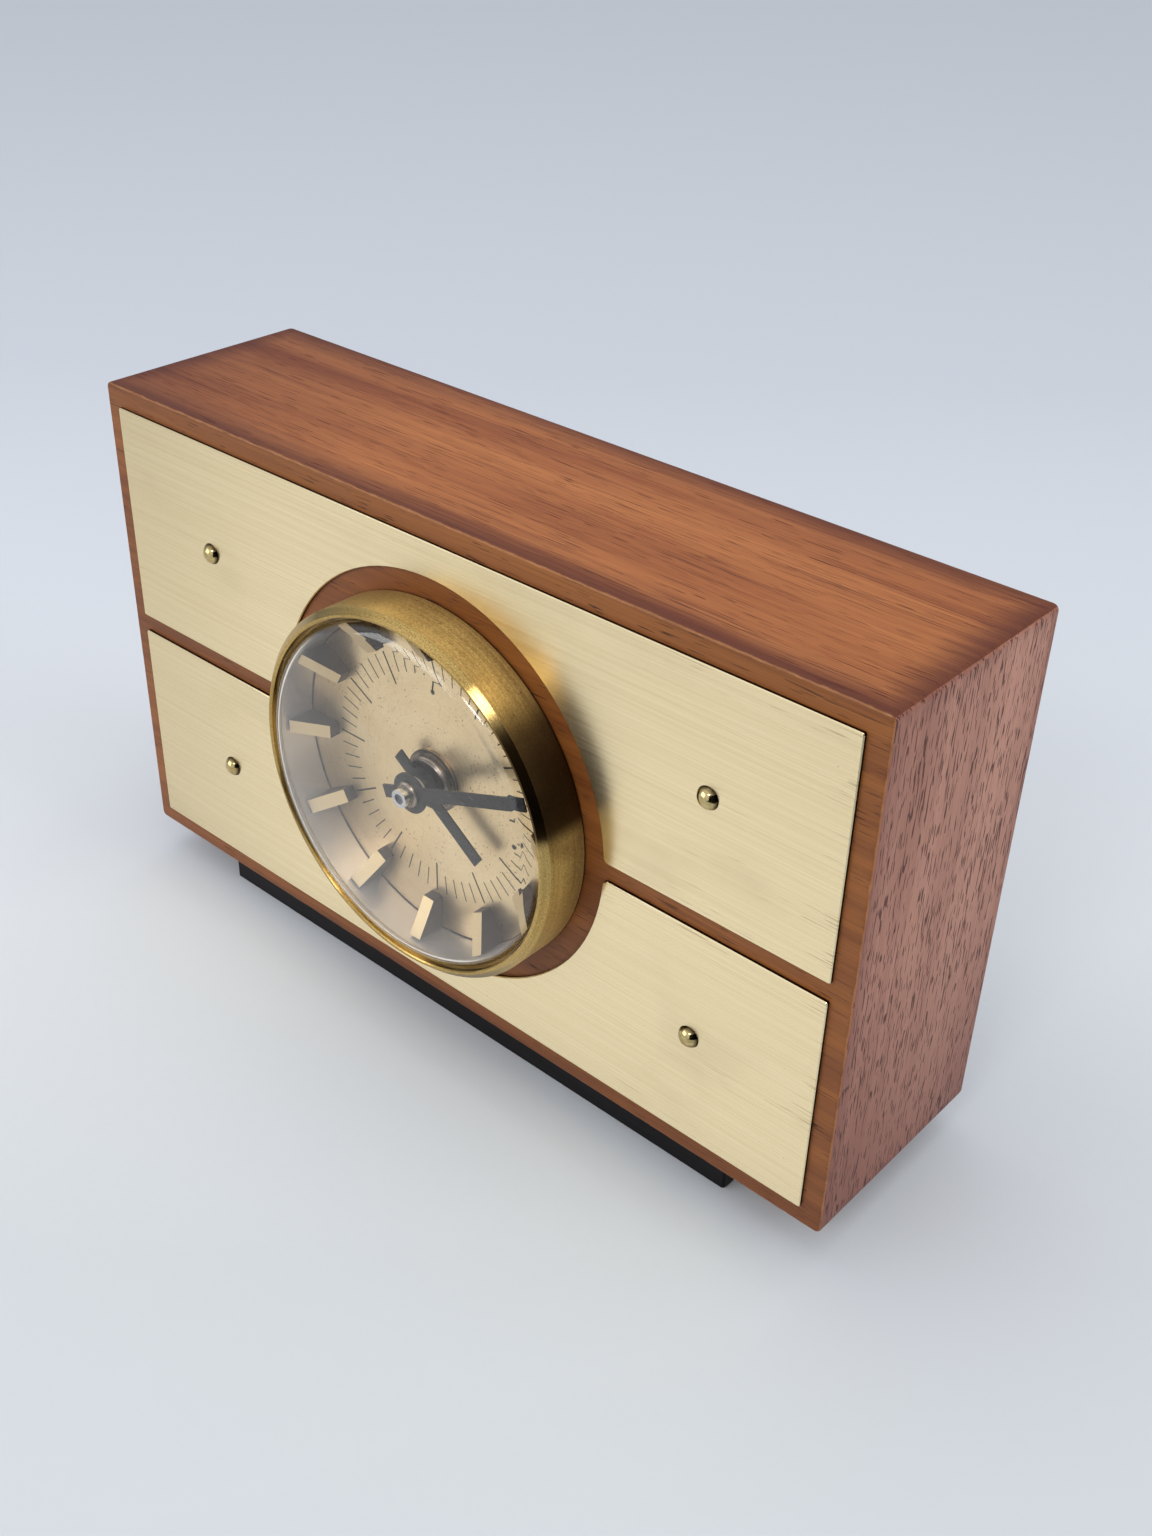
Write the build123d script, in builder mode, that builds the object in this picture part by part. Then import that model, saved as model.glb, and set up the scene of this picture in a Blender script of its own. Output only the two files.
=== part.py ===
import os
from math import cos, pi, radians, sin, sqrt

from build123d import *

os.makedirs("parts", exist_ok=True)

# A table clock: a mitred wooden case on a black plinth, two brass plates on the front,
# a round brass bezel with a domed crystal, and a battery movement behind the dial.
# +X is to the clock's left-to-right as the viewer sees it, the front faces -Y, +Z is up.
# The origin is the middle of the plinth's underside. All lengths are in millimetres.

# Allowances that every piece shares
overrun = 1.0
running_clearance = 0.05
press_clearance = 0.02
fit_clearance = 0.15

# Wooden case
case_width = 250.0
case_height = 141.5
case_depth = 65.0
board_thickness = 6.0
front_arris = 0.7
side_arris = 1.6
back_arris = 2.0
block_side = 12.0

# Plinth and the screws that hold it to the case
plinth_length = 189.0
plinth_height = 11.0
plinth_setback = 4.3
plinth_arris = 0.6
plinth_screw_spacing = 120.0
plinth_screw_radius = 1.7
plinth_screw_head_radius = 3.4
plinth_screw_head_height = 2.0
plinth_screw_sink = 1.0
plinth_screw_bite = 4.0

# Back panel with its access opening
back_thickness = 3.0
back_recess = 2.0
access_width = 100.0
access_height = 88.0
access_corner = 10.0
back_screw_radius = 1.4
back_screw_head_radius = 3.0
back_screw_head_height = 1.6
back_screw_bite = 9.0
screw_slot_width = 0.9
screw_slot_angle = 35.0

# Brass front plates and the domed pins that hold them
plate_thickness = 1.0
plate_border = 5.7
plate_strip = 5.1
plate_neck = 9.15
plate_cutout_gap = 6.0
plate_corner = 0.5
plate_cusp = 1.6
plate_bevel = 0.25
pin_spacing = 168.0
pin_dome_radius = 2.95
pin_dome_height = 2.0
pin_shank_radius = 0.9
pin_shank_bite = 4.0

# Bezel, with a seat for the crystal near its lip, and its screws
bezel_wall = 3.9
bezel_chamfer = 1.7
bezel_mouth_chamfer = 0.3
bezel_foot_relief = 0.5
bezel_height = 14.0
bezel_seat_ledge = 1.3
bezel_seat_depth = 3.0
bezel_screw_radius = 1.0
bezel_screw_bite = 6.0
bezel_screw_head_radius = 1.9
bezel_screw_head_height = 1.2
bezel_screw_count = 3

# Domed crystal with a rounded shoulder
crystal_gap = 0.4
crystal_edge_height = 3.4
crystal_rise = 5.1
crystal_shoulder = 2.4
crystal_thickness = 1.4

# Dial with its wedge-shaped hour markers
dial_thickness = 0.4
dial_gap = 0.4
marker_count = 12
marker_length = 9.8
marker_gap = 0.7
marker_inner_height = 3.2
marker_outer_height = 8.4
marker_width = 3.7

# Washer and round nut that clamp the movement to the front board
washer_radius = 8.5
washer_thickness = 0.8
nut_radius = 7.2
nut_height = 2.3
nut_chamfer = 0.7
nut_slot_width = 1.6
nut_slot_depth = 1.3
bush_radius = 4.0
bush_clearance = 0.2

# Hands: the minute hand's tip stays a gap inside the bezel, and the angles are clockwise
# from twelve
shown_hour_angle = 120.0
minute_hand_angle = 69.6
hand_thickness = 0.6
hour_hand_length_share = 0.583
hour_hand_tail = 10.4
hour_hand_width = 3.7
hour_hand_hub_radius = 5.0
hour_hand_lift = 0.8
minute_hand_gap = 5.2
minute_hand_tail = 9.8
minute_hand_width = 3.5
minute_hand_hub_radius = 5.5
minute_hand_lift = 3.6
minute_collet_radius = 3.9
minute_collet_height = 2.0
minute_collet_chamfer = 0.4
hand_washer_radius = 3.5
hand_washer_thickness = 1.3
hand_washer_chamfer = 0.5
hand_nut_radius = 2.5
hand_nut_height = 2.2
hand_nut_recess = 0.5

# Movement housing
movement_width = 56.0
movement_height = 56.0
movement_depth = 15.5
movement_wall = 1.5
movement_corner = 3.0
partition_thickness = 1.2
cover_thickness = 1.2
cover_chamfer = 0.5

# Battery and its contacts
battery_radius = 7.1
battery_length = 49.0
battery_nub_radius = 2.7
battery_nub_length = 1.4
battery_arris = 0.5
battery_clearance = 0.3
contact_thickness = 0.4
contact_width = 9.0
contact_height = 11.0
contact_bulge_radius = 3.5

# Toothed wheels: tooth counts, modules and the shares that shape a tooth
cannon_teeth = 12
motion_wheel_teeth = 36
motion_pinion_teeth = 10
hour_wheel_teeth = 40
knob_teeth = 18
centre_teeth = 64
third_pinion_teeth = 8
third_wheel_teeth = 60
second_pinion_teeth = 8
second_wheel_teeth = 48
middle_pinion_teeth = 8
middle_wheel_teeth = 40
rotor_teeth = 8
motion_module = 0.4
train_module = 0.25
addendum_share = 0.9
dedendum_share = 1.15
tooth_root_share = 0.29
tooth_tip_share = 0.12

# Angles of the lines from one arbor to the next, in degrees from +X, seen from the front
full_angle = 360.0
half_angle = 180.0
quarter_angle = 90.0
motion_angle = 150.0
knob_angle = 200.0
third_angle = 10.0
second_angle = 60.0
middle_angle = 120.0
rotor_angle = 170.0

# Wheel thicknesses and the gaps between wheels along the arbors
wheel_thickness = 1.0
train_wheel_thickness = 0.8
pinion_lap = 0.2
layer_gap = 0.6
arbor_radius = 0.5
pivot_radius = 0.35
pivot_length = 0.7
pivot_end_play = 0.1
hub_radius = 1.1
motion_post_radius = 0.9
hour_pipe_radius = 2.6
minute_arbor_radius = 1.75
minute_thread_radius = 1.4
minute_tail_radius = 0.8

# Setting knob
knob_radius = 7.0
knob_height = 4.0
knob_stem_radius = 1.5
knob_gap = 0.3
knob_flutes = 30

# Stepping motor: rotor magnet, stator, coil
magnet_radius = 2.8
magnet_height = 3.0
magnet_gap = 0.5
stator_thickness = 1.0
stator_width = 21.5
stator_height = 16.4
stator_bar_width = 8.4
stator_arm_width = 2.6
core_width = 3.0
core_thickness = 1.0
coil_radius = 3.4
coil_flange_radius = 3.9
coil_flange_thickness = 0.7

# Circuit board with its quartz can and driver chip
circuit_width = 13.5
circuit_height = 9.0
circuit_thickness = 1.0
circuit_margin = 0.5
quartz_radius = 1.4
quartz_length = 6.0
chip_side = 4.0
chip_height = 1.2
chip_margin = 0.8

# Worked-out places. Heights are from the plinth's underside; a stand is measured out
# of the case's front face and a depth into it.
case_base = plinth_height
case_top = case_base + case_height
dial_height = case_base + case_height / 2
plinth_depth = case_depth - 2 * plinth_setback
plate_width = case_width - 2 * plate_border
plate_height = (case_height - 2 * plate_border - plate_strip) / 2
plate_cutout_radius = plate_strip / 2 + plate_height - plate_neck
plate_middle = (plate_strip + plate_height) / 2
inner_width = case_width - 2 * board_thickness
inner_height = case_height - 2 * board_thickness
mitre_depth = case_depth - board_thickness + overrun
mitre_shift = (board_thickness + overrun) / 2
back_depth = case_depth - back_recess
block_depth = back_depth - back_thickness
block_spacing_x = inner_width - block_side
block_spacing_z = inner_height - block_side
plate_pin_places = [
    (side * pin_spacing / 2, level * plate_middle) for level in (1, -1) for side in (-1, 1)
]
bezel_radius = plate_cutout_radius - plate_cutout_gap
bezel_bore_radius = bezel_radius - bezel_wall
bezel_seat_radius = bezel_bore_radius + bezel_seat_ledge
bezel_seat_height = bezel_height - bezel_seat_depth
bezel_lip_radius = bezel_radius - bezel_chamfer
bezel_shoulder = bezel_height - bezel_chamfer
bezel_screw_circle = (bezel_bore_radius + bezel_radius) / 2

# Depths of the movement's layers, from the front board's rear face to the cover
housing_front = board_thickness
floor_depth = housing_front + movement_wall
cover_depth = housing_front + movement_depth
hour_wheel_front = floor_depth + layer_gap
hour_wheel_rear = hour_wheel_front + wheel_thickness
motion_wheel_front = hour_wheel_rear + layer_gap
motion_wheel_rear = motion_wheel_front + wheel_thickness
centre_front = motion_wheel_rear + layer_gap + pinion_lap
centre_rear = centre_front + wheel_thickness
third_front = centre_rear + layer_gap + pinion_lap
third_rear = third_front + train_wheel_thickness
stator_front = third_rear + layer_gap
stator_rear = stator_front + stator_thickness
second_front = stator_rear + layer_gap + pinion_lap
second_rear = second_front + train_wheel_thickness
middle_front = second_rear + layer_gap + pinion_lap
middle_rear = middle_front + train_wheel_thickness

# Stands of the pieces in front of the dial
washer_stand = dial_thickness
nut_stand = washer_stand + washer_thickness
bush_stand = nut_stand + nut_height
hour_hand_stand = bush_stand + hour_hand_lift
hour_pipe_stand = hour_hand_stand + hand_thickness
minute_hand_stand = hour_pipe_stand + minute_hand_lift
hand_washer_stand = minute_hand_stand + hand_thickness
hand_nut_stand = hand_washer_stand + hand_washer_thickness
hand_nut_top = hand_nut_stand + hand_nut_height
minute_hand_length = bezel_bore_radius - minute_hand_gap
hour_hand_length = hour_hand_length_share * minute_hand_length
marker_outer_radius = bezel_bore_radius - marker_gap
marker_inner_radius = marker_outer_radius - marker_length
hour_hand_angle = shown_hour_angle + minute_hand_angle / marker_count


def face_plane(depth, place=(0.0, 0.0), turn=0.0):
    # Parallel to the front face and facing the viewer, centred on a place from the dial's centre
    origin = (place[0], depth - case_depth / 2, dial_height + place[1])
    return Plane(origin=origin, x_dir=(cos(radians(turn)), 0, sin(radians(turn))), z_dir=(0, -1, 0))


def step(place, distance, direction):
    # The place reached from another by a distance in a direction
    angle = radians(direction)
    return (place[0] + distance * cos(angle), place[1] + distance * sin(angle))


def round_bar(place, rear, front, radius, mode=Mode.ADD):
    # A round bar along the clock's depth, between two depths
    with BuildSketch(face_plane(rear, place)) as section:
        Circle(radius)
    extrude(section.sketch, amount=rear - front, mode=mode)


def cap_middle(base_radius, rise):
    # The point halfway along the arc of a dome, from its base edge to its crown
    sphere_radius = (base_radius**2 + rise**2) / (2 * rise)
    x = base_radius / 2
    return (x, rise - sphere_radius + sqrt(sphere_radius**2 - x**2))


def tip_radius(teeth, module):
    return module * (teeth / 2 + addendum_share)


def toothed_disc(teeth, module, phase):
    # A straight-flanked gear outline, with a tooth centred on the phase angle
    pitch = full_angle / teeth
    root = module * (teeth / 2 - dedendum_share)
    tip = tip_radius(teeth, module)
    corners = [(root, -tooth_root_share), (tip, -tooth_tip_share)]
    corners += [(tip, tooth_tip_share), (root, tooth_root_share)]
    points = []
    for tooth in range(teeth):
        for radius, share in corners:
            angle = radians(phase + (tooth + share) * pitch)
            points.append((radius * cos(angle), radius * sin(angle)))
    with BuildSketch() as outline:
        with BuildLine():
            Polyline(*points, close=True)
        make_face()
    return outline.sketch


def meshed_phase(teeth, phase, direction, other_teeth):
    # Where the next wheel's tooth stands so that it falls in this wheel's gap
    pitch = full_angle / teeth
    part = (direction - phase) / pitch % 1
    return direction + half_angle + (part + 1 / 2) * full_angle / other_teeth


def mesh_distance(teeth, other_teeth, module):
    return module * (teeth + other_teeth) / 2


# Arbor places, worked out from the meshing wheels. The hour wheel and the motion pinion
# share the distance of the cannon pinion and the motion wheel, so their module follows.
centre_place = (0.0, 0.0)
bezel_screw_places = [
    step(centre_place, bezel_screw_circle, quarter_angle + index * full_angle / bezel_screw_count)
    for index in range(bezel_screw_count)
]
motion_distance = mesh_distance(cannon_teeth, motion_wheel_teeth, motion_module)
hour_module = 2 * motion_distance / (motion_pinion_teeth + hour_wheel_teeth)
motion_place = step(centre_place, motion_distance, motion_angle)
knob_distance = mesh_distance(motion_wheel_teeth, knob_teeth, motion_module)
knob_place = step(motion_place, knob_distance, knob_angle)
third_distance = mesh_distance(centre_teeth, third_pinion_teeth, train_module)
third_place = step(centre_place, third_distance, third_angle)
second_distance = mesh_distance(third_wheel_teeth, second_pinion_teeth, train_module)
second_place = step(third_place, second_distance, second_angle)
middle_distance = mesh_distance(second_wheel_teeth, middle_pinion_teeth, train_module)
middle_place = step(second_place, middle_distance, middle_angle)
rotor_distance = mesh_distance(middle_wheel_teeth, rotor_teeth, train_module)
rotor_place = step(middle_place, rotor_distance, rotor_angle)
pivoted_places = [third_place, second_place, middle_place, rotor_place]

# Tooth phases: each wheel's gap meets the tooth of the one before it
cannon_phase = motion_angle
motion_wheel_phase = meshed_phase(cannon_teeth, cannon_phase, motion_angle, motion_wheel_teeth)
motion_pinion_phase = motion_angle + half_angle
hour_phase = meshed_phase(
    motion_pinion_teeth, motion_pinion_phase, motion_pinion_phase, hour_wheel_teeth
)
knob_phase = meshed_phase(motion_wheel_teeth, motion_wheel_phase, knob_angle, knob_teeth)
centre_phase = third_angle
third_pinion_phase = meshed_phase(centre_teeth, centre_phase, third_angle, third_pinion_teeth)
third_wheel_phase = second_angle
second_pinion_phase = meshed_phase(
    third_wheel_teeth, third_wheel_phase, second_angle, second_pinion_teeth
)
second_wheel_phase = middle_angle
middle_pinion_phase = meshed_phase(
    second_wheel_teeth, second_wheel_phase, middle_angle, middle_pinion_teeth
)
middle_wheel_phase = rotor_angle
rotor_phase = meshed_phase(middle_wheel_teeth, middle_wheel_phase, rotor_angle, rotor_teeth)

# Places inside the housing
half_width = movement_width / 2
half_height = movement_height / 2
bay_low = -half_height + movement_wall
bay_height = 2 * (battery_radius + battery_clearance)
partition_top = bay_low + bay_height + partition_thickness
cavity_top = half_height - movement_wall
cavity_width = movement_width - 2 * movement_wall
battery_level = bay_low + bay_height / 2
battery_depth = floor_depth + battery_clearance + battery_radius
stator_right = rotor_place[0] + stator_bar_width / 2
stator_middle = (stator_right - stator_width / 2, rotor_place[1] + magnet_gap)
coil_x = stator_right - stator_width + core_width / 2
coil_depth = stator_rear + core_thickness / 2
coil_length = stator_height - 2 * stator_arm_width
circuit_middle = (
    half_width - movement_wall - circuit_margin - circuit_width / 2,
    cavity_top - circuit_margin - circuit_height / 2,
)
turning_axis = Axis((0, -case_depth / 2, dial_height), (0, -1, 0))
turning_plane = Plane(origin=(0, -case_depth / 2, dial_height), x_dir=(1, 0, 0), z_dir=(0, 0, -1))

# The case's outer form, softened along its edges, which trims every board
with BuildPart(Plane.XY.offset(case_base)) as case_form:
    Box(case_width, case_depth, case_height, align=(Align.CENTER, Align.CENTER, Align.MIN))
    fillet(case_form.edges().filter_by(Axis.Y), side_arris)
    fillet(case_form.faces().sort_by(Axis.Y)[0].edges(), front_arris)
    fillet(case_form.faces().sort_by(Axis.Y)[-1].edges(), back_arris)

# Front board, mitred all round, with holes for the movement's bush, the pins and the screws
with BuildPart() as front_board:
    with BuildSketch(face_plane(-overrun)):
        Rectangle(case_width + 2 * overrun, case_height + 2 * overrun)
    with BuildSketch(face_plane(board_thickness)):
        Rectangle(inner_width, inner_height)
    loft(ruled=True)
    add(case_form.part, mode=Mode.INTERSECT)
    round_bar(
        centre_place, board_thickness + overrun, -overrun, bush_radius + bush_clearance, Mode.SUBTRACT
    )
    for place in plate_pin_places:
        round_bar(place, pin_shank_bite, -overrun, pin_shank_radius + press_clearance, Mode.SUBTRACT)
    for place in bezel_screw_places:
        hole_radius = bezel_screw_radius + fit_clearance
        round_bar(place, board_thickness + overrun, -overrun, hole_radius, Mode.SUBTRACT)
front_board.part.label = "front_board"
export_step(front_board.part, "parts/front_board.step")

# Top and bottom boards, mitred to the front and the sides
with BuildPart() as top_board:
    with BuildSketch(Plane.XY.offset(case_top + overrun)):
        Rectangle(case_width + 2 * overrun, case_depth + 2 * overrun)
    with BuildSketch(Plane.XY.offset(case_top - board_thickness)):
        with Locations((0, mitre_shift)):
            Rectangle(inner_width, mitre_depth)
    loft(ruled=True)
    add(case_form.part, mode=Mode.INTERSECT)
top_board.part.label = "top_board"
export_step(top_board.part, "parts/top_board.step")

with BuildPart() as bottom_board:
    with BuildSketch(Plane.XY.offset(case_base - overrun)):
        Rectangle(case_width + 2 * overrun, case_depth + 2 * overrun)
    with BuildSketch(Plane.XY.offset(case_base + board_thickness)):
        with Locations((0, mitre_shift)):
            Rectangle(inner_width, mitre_depth)
    loft(ruled=True)
    add(case_form.part, mode=Mode.INTERSECT)
    with BuildSketch(Plane.XY.offset(case_base - overrun)):
        with GridLocations(plinth_screw_spacing, 0, 2, 1):
            Circle(plinth_screw_radius + press_clearance)
    extrude(amount=plinth_screw_bite + overrun, mode=Mode.SUBTRACT)
bottom_board.part.label = "bottom_board"
export_step(bottom_board.part, "parts/bottom_board.step")

# Side boards, mitred to the front, the top and the bottom
for name, side in (("left_board", -1), ("right_board", 1)):
    with BuildPart() as side_board:
        with BuildSketch(Plane.YZ.offset(side * (case_width / 2 + overrun))):
            with Locations((0, dial_height)):
                Rectangle(case_depth + 2 * overrun, case_height + 2 * overrun)
        with BuildSketch(Plane.YZ.offset(side * inner_width / 2)):
            with Locations((mitre_shift, dial_height)):
                Rectangle(mitre_depth, inner_height)
        loft(ruled=True)
        add(case_form.part, mode=Mode.INTERSECT)
    side_board.part.label = name
    export_step(side_board.part, f"parts/{name}.step")

# Glue blocks in the four inner corners, which take the back panel's screws
with BuildPart() as corner_blocks:
    with BuildSketch(face_plane(block_depth)):
        with GridLocations(block_spacing_x, block_spacing_z, 2, 2):
            Rectangle(block_side, block_side)
    extrude(amount=block_depth - board_thickness)
    with BuildSketch(face_plane(block_depth)):
        with GridLocations(block_spacing_x, block_spacing_z, 2, 2):
            Circle(back_screw_radius + press_clearance)
    extrude(amount=back_screw_bite, mode=Mode.SUBTRACT)
corner_blocks.part.label = "corner_blocks"
export_step(corner_blocks.part, "parts/corner_blocks.step")

# Back panel, set between the boards, with an opening to reach the movement
with BuildPart() as back_panel:
    with BuildSketch(face_plane(back_depth)):
        Rectangle(inner_width - 2 * fit_clearance, inner_height - 2 * fit_clearance)
        RectangleRounded(access_width, access_height, access_corner, mode=Mode.SUBTRACT)
        with GridLocations(block_spacing_x, block_spacing_z, 2, 2):
            Circle(back_screw_radius + fit_clearance, mode=Mode.SUBTRACT)
    extrude(amount=back_thickness)
back_panel.part.label = "back_panel"
export_step(back_panel.part, "parts/back_panel.step")

with BuildPart() as back_screws:
    with BuildSketch(face_plane(back_depth + back_screw_head_height)):
        with GridLocations(block_spacing_x, block_spacing_z, 2, 2):
            Circle(back_screw_head_radius)
    extrude(amount=back_screw_head_height)
    chamfer(back_screws.edges().group_by(Axis.Y)[-1], back_screw_head_height / 2)
    with BuildSketch(face_plane(back_depth + back_screw_head_height)):
        with GridLocations(block_spacing_x, block_spacing_z, 2, 2):
            Rectangle(2 * back_screw_head_radius, screw_slot_width, rotation=screw_slot_angle)
    extrude(amount=back_screw_head_height / 2, mode=Mode.SUBTRACT)
    with BuildSketch(face_plane(back_depth)):
        with GridLocations(block_spacing_x, block_spacing_z, 2, 2):
            Circle(back_screw_radius)
    extrude(amount=back_thickness + back_screw_bite)
back_screws.part.label = "back_screws"
export_step(back_screws.part, "parts/back_screws.step")

# Plinth under the case, with sunk holes for its screws
with BuildPart() as plinth:
    Box(plinth_length, plinth_depth, plinth_height, align=(Align.CENTER, Align.CENTER, Align.MIN))
    chamfer(plinth.edges().filter_by(Axis.Z), plinth_arris)
    chamfer(plinth.faces().sort_by(Axis.Z)[0].edges(), plinth_arris)
    with BuildSketch(Plane.XY):
        with GridLocations(plinth_screw_spacing, 0, 2, 1):
            Circle(plinth_screw_head_radius + fit_clearance)
    extrude(amount=plinth_screw_sink + plinth_screw_head_height, mode=Mode.SUBTRACT)
    with BuildSketch(Plane.XY):
        with GridLocations(plinth_screw_spacing, 0, 2, 1):
            Circle(plinth_screw_radius + fit_clearance)
    extrude(amount=plinth_height + overrun, mode=Mode.SUBTRACT)
plinth.part.label = "plinth"
export_step(plinth.part, "parts/plinth.step")

with BuildPart() as plinth_screws:
    with BuildSketch(Plane.XY.offset(plinth_screw_sink)):
        with GridLocations(plinth_screw_spacing, 0, 2, 1):
            Circle(plinth_screw_head_radius)
    extrude(amount=plinth_screw_head_height)
    with BuildSketch(Plane.XY.offset(plinth_screw_sink)):
        with GridLocations(plinth_screw_spacing, 0, 2, 1):
            Rectangle(2 * plinth_screw_head_radius, screw_slot_width, rotation=screw_slot_angle)
    extrude(amount=plinth_screw_head_height / 2, mode=Mode.SUBTRACT)
    with BuildSketch(Plane.XY.offset(plinth_screw_sink + plinth_screw_head_height)):
        with GridLocations(plinth_screw_spacing, 0, 2, 1):
            Circle(plinth_screw_radius)
    extrude(amount=plinth_height + plinth_screw_bite - plinth_screw_sink - plinth_screw_head_height)
plinth_screws.part.label = "plinth_screws"
export_step(plinth_screws.part, "parts/plinth_screws.step")

# Brass plates above and below the wooden strip, cut round the bezel
for name, level in (("upper_plate", 1), ("lower_plate", -1)):
    with BuildPart() as plate:
        with BuildSketch(face_plane(0)) as plate_face:
            with Locations((0, level * plate_middle)):
                Rectangle(plate_width, plate_height)
            Circle(plate_cutout_radius, mode=Mode.SUBTRACT)
            by_side = plate_face.vertices().sort_by(lambda vertex: abs(vertex.X))
            fillet(by_side[:2], plate_cusp)
            by_side = plate_face.vertices().sort_by(lambda vertex: abs(vertex.X))
            fillet(by_side[-4:], plate_corner)
            with Locations((-pin_spacing / 2, level * plate_middle), (pin_spacing / 2, level * plate_middle)):
                Circle(pin_shank_radius + press_clearance, mode=Mode.SUBTRACT)
        extrude(amount=plate_thickness)
        chamfer(plate.faces().sort_by(Axis.Y)[0].outer_wire().edges(), plate_bevel)
    plate.part.label = name
    export_step(plate.part, f"parts/{name}.step")

# One domed pin, then the four that hold the plates
with BuildPart() as dome_pin:
    with BuildSketch(Plane.XY):
        with BuildLine():
            pin_low = -plate_thickness - pin_shank_bite
            Polyline((0, pin_dome_height), (0, pin_low), (pin_shank_radius, pin_low), (pin_shank_radius, 0))
            Line((pin_shank_radius, 0), (pin_dome_radius, 0))
            pin_middle = cap_middle(pin_dome_radius, pin_dome_height)
            ThreePointArc((pin_dome_radius, 0), pin_middle, (0, pin_dome_height))
        make_face()
    revolve(axis=Axis.Y)

with BuildPart() as plate_pins:
    for place in plate_pin_places:
        with Locations(face_plane(-plate_thickness, place) * Rot(90, 0, 0)):
            add(dome_pin.part)
plate_pins.part.label = "plate_pins"
export_step(plate_pins.part, "parts/plate_pins.step")

# Brass bezel: a turned ring with a relieved foot, a chamfered lip and a seat for the crystal
with BuildPart() as bezel:
    with BuildSketch(turning_plane):
        with BuildLine():
            Polyline(
                (bezel_bore_radius, 0),
                (bezel_radius - bezel_foot_relief, 0),
                (bezel_radius, bezel_foot_relief),
                (bezel_radius, bezel_shoulder),
                (bezel_lip_radius, bezel_height),
                (bezel_seat_radius + bezel_mouth_chamfer, bezel_height),
                (bezel_seat_radius, bezel_height - bezel_mouth_chamfer),
                (bezel_seat_radius, bezel_seat_height),
                (bezel_bore_radius, bezel_seat_height),
                close=True,
            )
        make_face()
    revolve(axis=turning_axis)
    for place in bezel_screw_places:
        hole_radius = bezel_screw_radius + press_clearance
        round_bar(place, overrun, -bezel_screw_bite, hole_radius, Mode.SUBTRACT)
bezel.part.label = "bezel"
export_step(bezel.part, "parts/bezel.step")

with BuildPart() as bezel_screws:
    for place in bezel_screw_places:
        head_rear = board_thickness + bezel_screw_head_height
        round_bar(place, head_rear, board_thickness, bezel_screw_head_radius)
        round_bar(place, board_thickness, -bezel_screw_bite, bezel_screw_radius)
bezel_screws.part.label = "bezel_screws"
export_step(bezel_screws.part, "parts/bezel_screws.step")

# Domed crystal: a turned cap, hollowed from below, resting on the bezel's seat
with BuildPart() as crystal:
    rim_radius = bezel_seat_radius - crystal_gap
    edge_top = bezel_seat_height + crystal_edge_height
    crown = edge_top + crystal_rise
    with BuildSketch(turning_plane) as crystal_half:
        with BuildLine():
            arc_x, arc_rise = cap_middle(rim_radius, crystal_rise)
            rim_corner = (rim_radius, bezel_seat_height)
            Polyline((0, crown), (0, bezel_seat_height), rim_corner, (rim_radius, edge_top))
            ThreePointArc((rim_radius, edge_top), (arc_x, edge_top + arc_rise), (0, crown))
        make_face()
        fillet(crystal_half.vertices().group_by(Axis.X)[-1].sort_by(Axis.Y)[-1], crystal_shoulder)
    revolve(axis=turning_axis)
    offset(amount=-crystal_thickness, openings=crystal.faces().sort_by(Axis.Y)[-1])
crystal.part.label = "crystal"
export_step(crystal.part, "parts/crystal.step")

# Dial disc inside the bezel, clamped at its middle
with BuildPart() as dial:
    with BuildSketch(face_plane(0)):
        Circle(bezel_bore_radius - dial_gap)
        Circle(bush_radius + bush_clearance, mode=Mode.SUBTRACT)
    extrude(amount=dial_thickness)
dial.part.label = "dial"
export_step(dial.part, "parts/dial.step")

# One wedge-shaped marker at twelve, rising towards the rim, then the whole ring of them
with BuildPart() as marker:
    with BuildSketch(Plane.YZ):
        with BuildLine():
            Polyline(
                (marker_inner_radius, 0),
                (marker_outer_radius, 0),
                (marker_outer_radius, marker_outer_height),
                (marker_inner_radius, marker_inner_height),
                close=True,
            )
        make_face()
    extrude(amount=marker_width / 2, both=True)

with BuildPart(face_plane(-dial_thickness)) as hour_markers:
    with PolarLocations(0, marker_count):
        add(marker.part)
hour_markers.part.label = "hour_markers"
export_step(hour_markers.part, "parts/hour_markers.step")

# Washer and slotted round nut on the bush
with BuildPart() as fixing_washer:
    with BuildSketch(face_plane(-washer_stand)):
        Circle(washer_radius)
        Circle(bush_radius + press_clearance, mode=Mode.SUBTRACT)
    extrude(amount=washer_thickness)
fixing_washer.part.label = "fixing_washer"
export_step(fixing_washer.part, "parts/fixing_washer.step")

with BuildPart() as fixing_nut:
    with BuildSketch(face_plane(-nut_stand)):
        Circle(nut_radius)
    extrude(amount=nut_height)
    chamfer(fixing_nut.edges().sort_by(Axis.Y)[0], nut_chamfer)
    round_bar(
        centre_place, -nut_stand + overrun, -bush_stand - overrun,
        bush_radius + press_clearance, Mode.SUBTRACT,
    )
    with BuildSketch(face_plane(-bush_stand + nut_slot_depth)):
        Rectangle(2 * (nut_radius + overrun), nut_slot_width)
    extrude(amount=nut_slot_depth + overrun, mode=Mode.SUBTRACT)
fixing_nut.part.label = "fixing_nut"
export_step(fixing_nut.part, "parts/fixing_nut.step")

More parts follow.
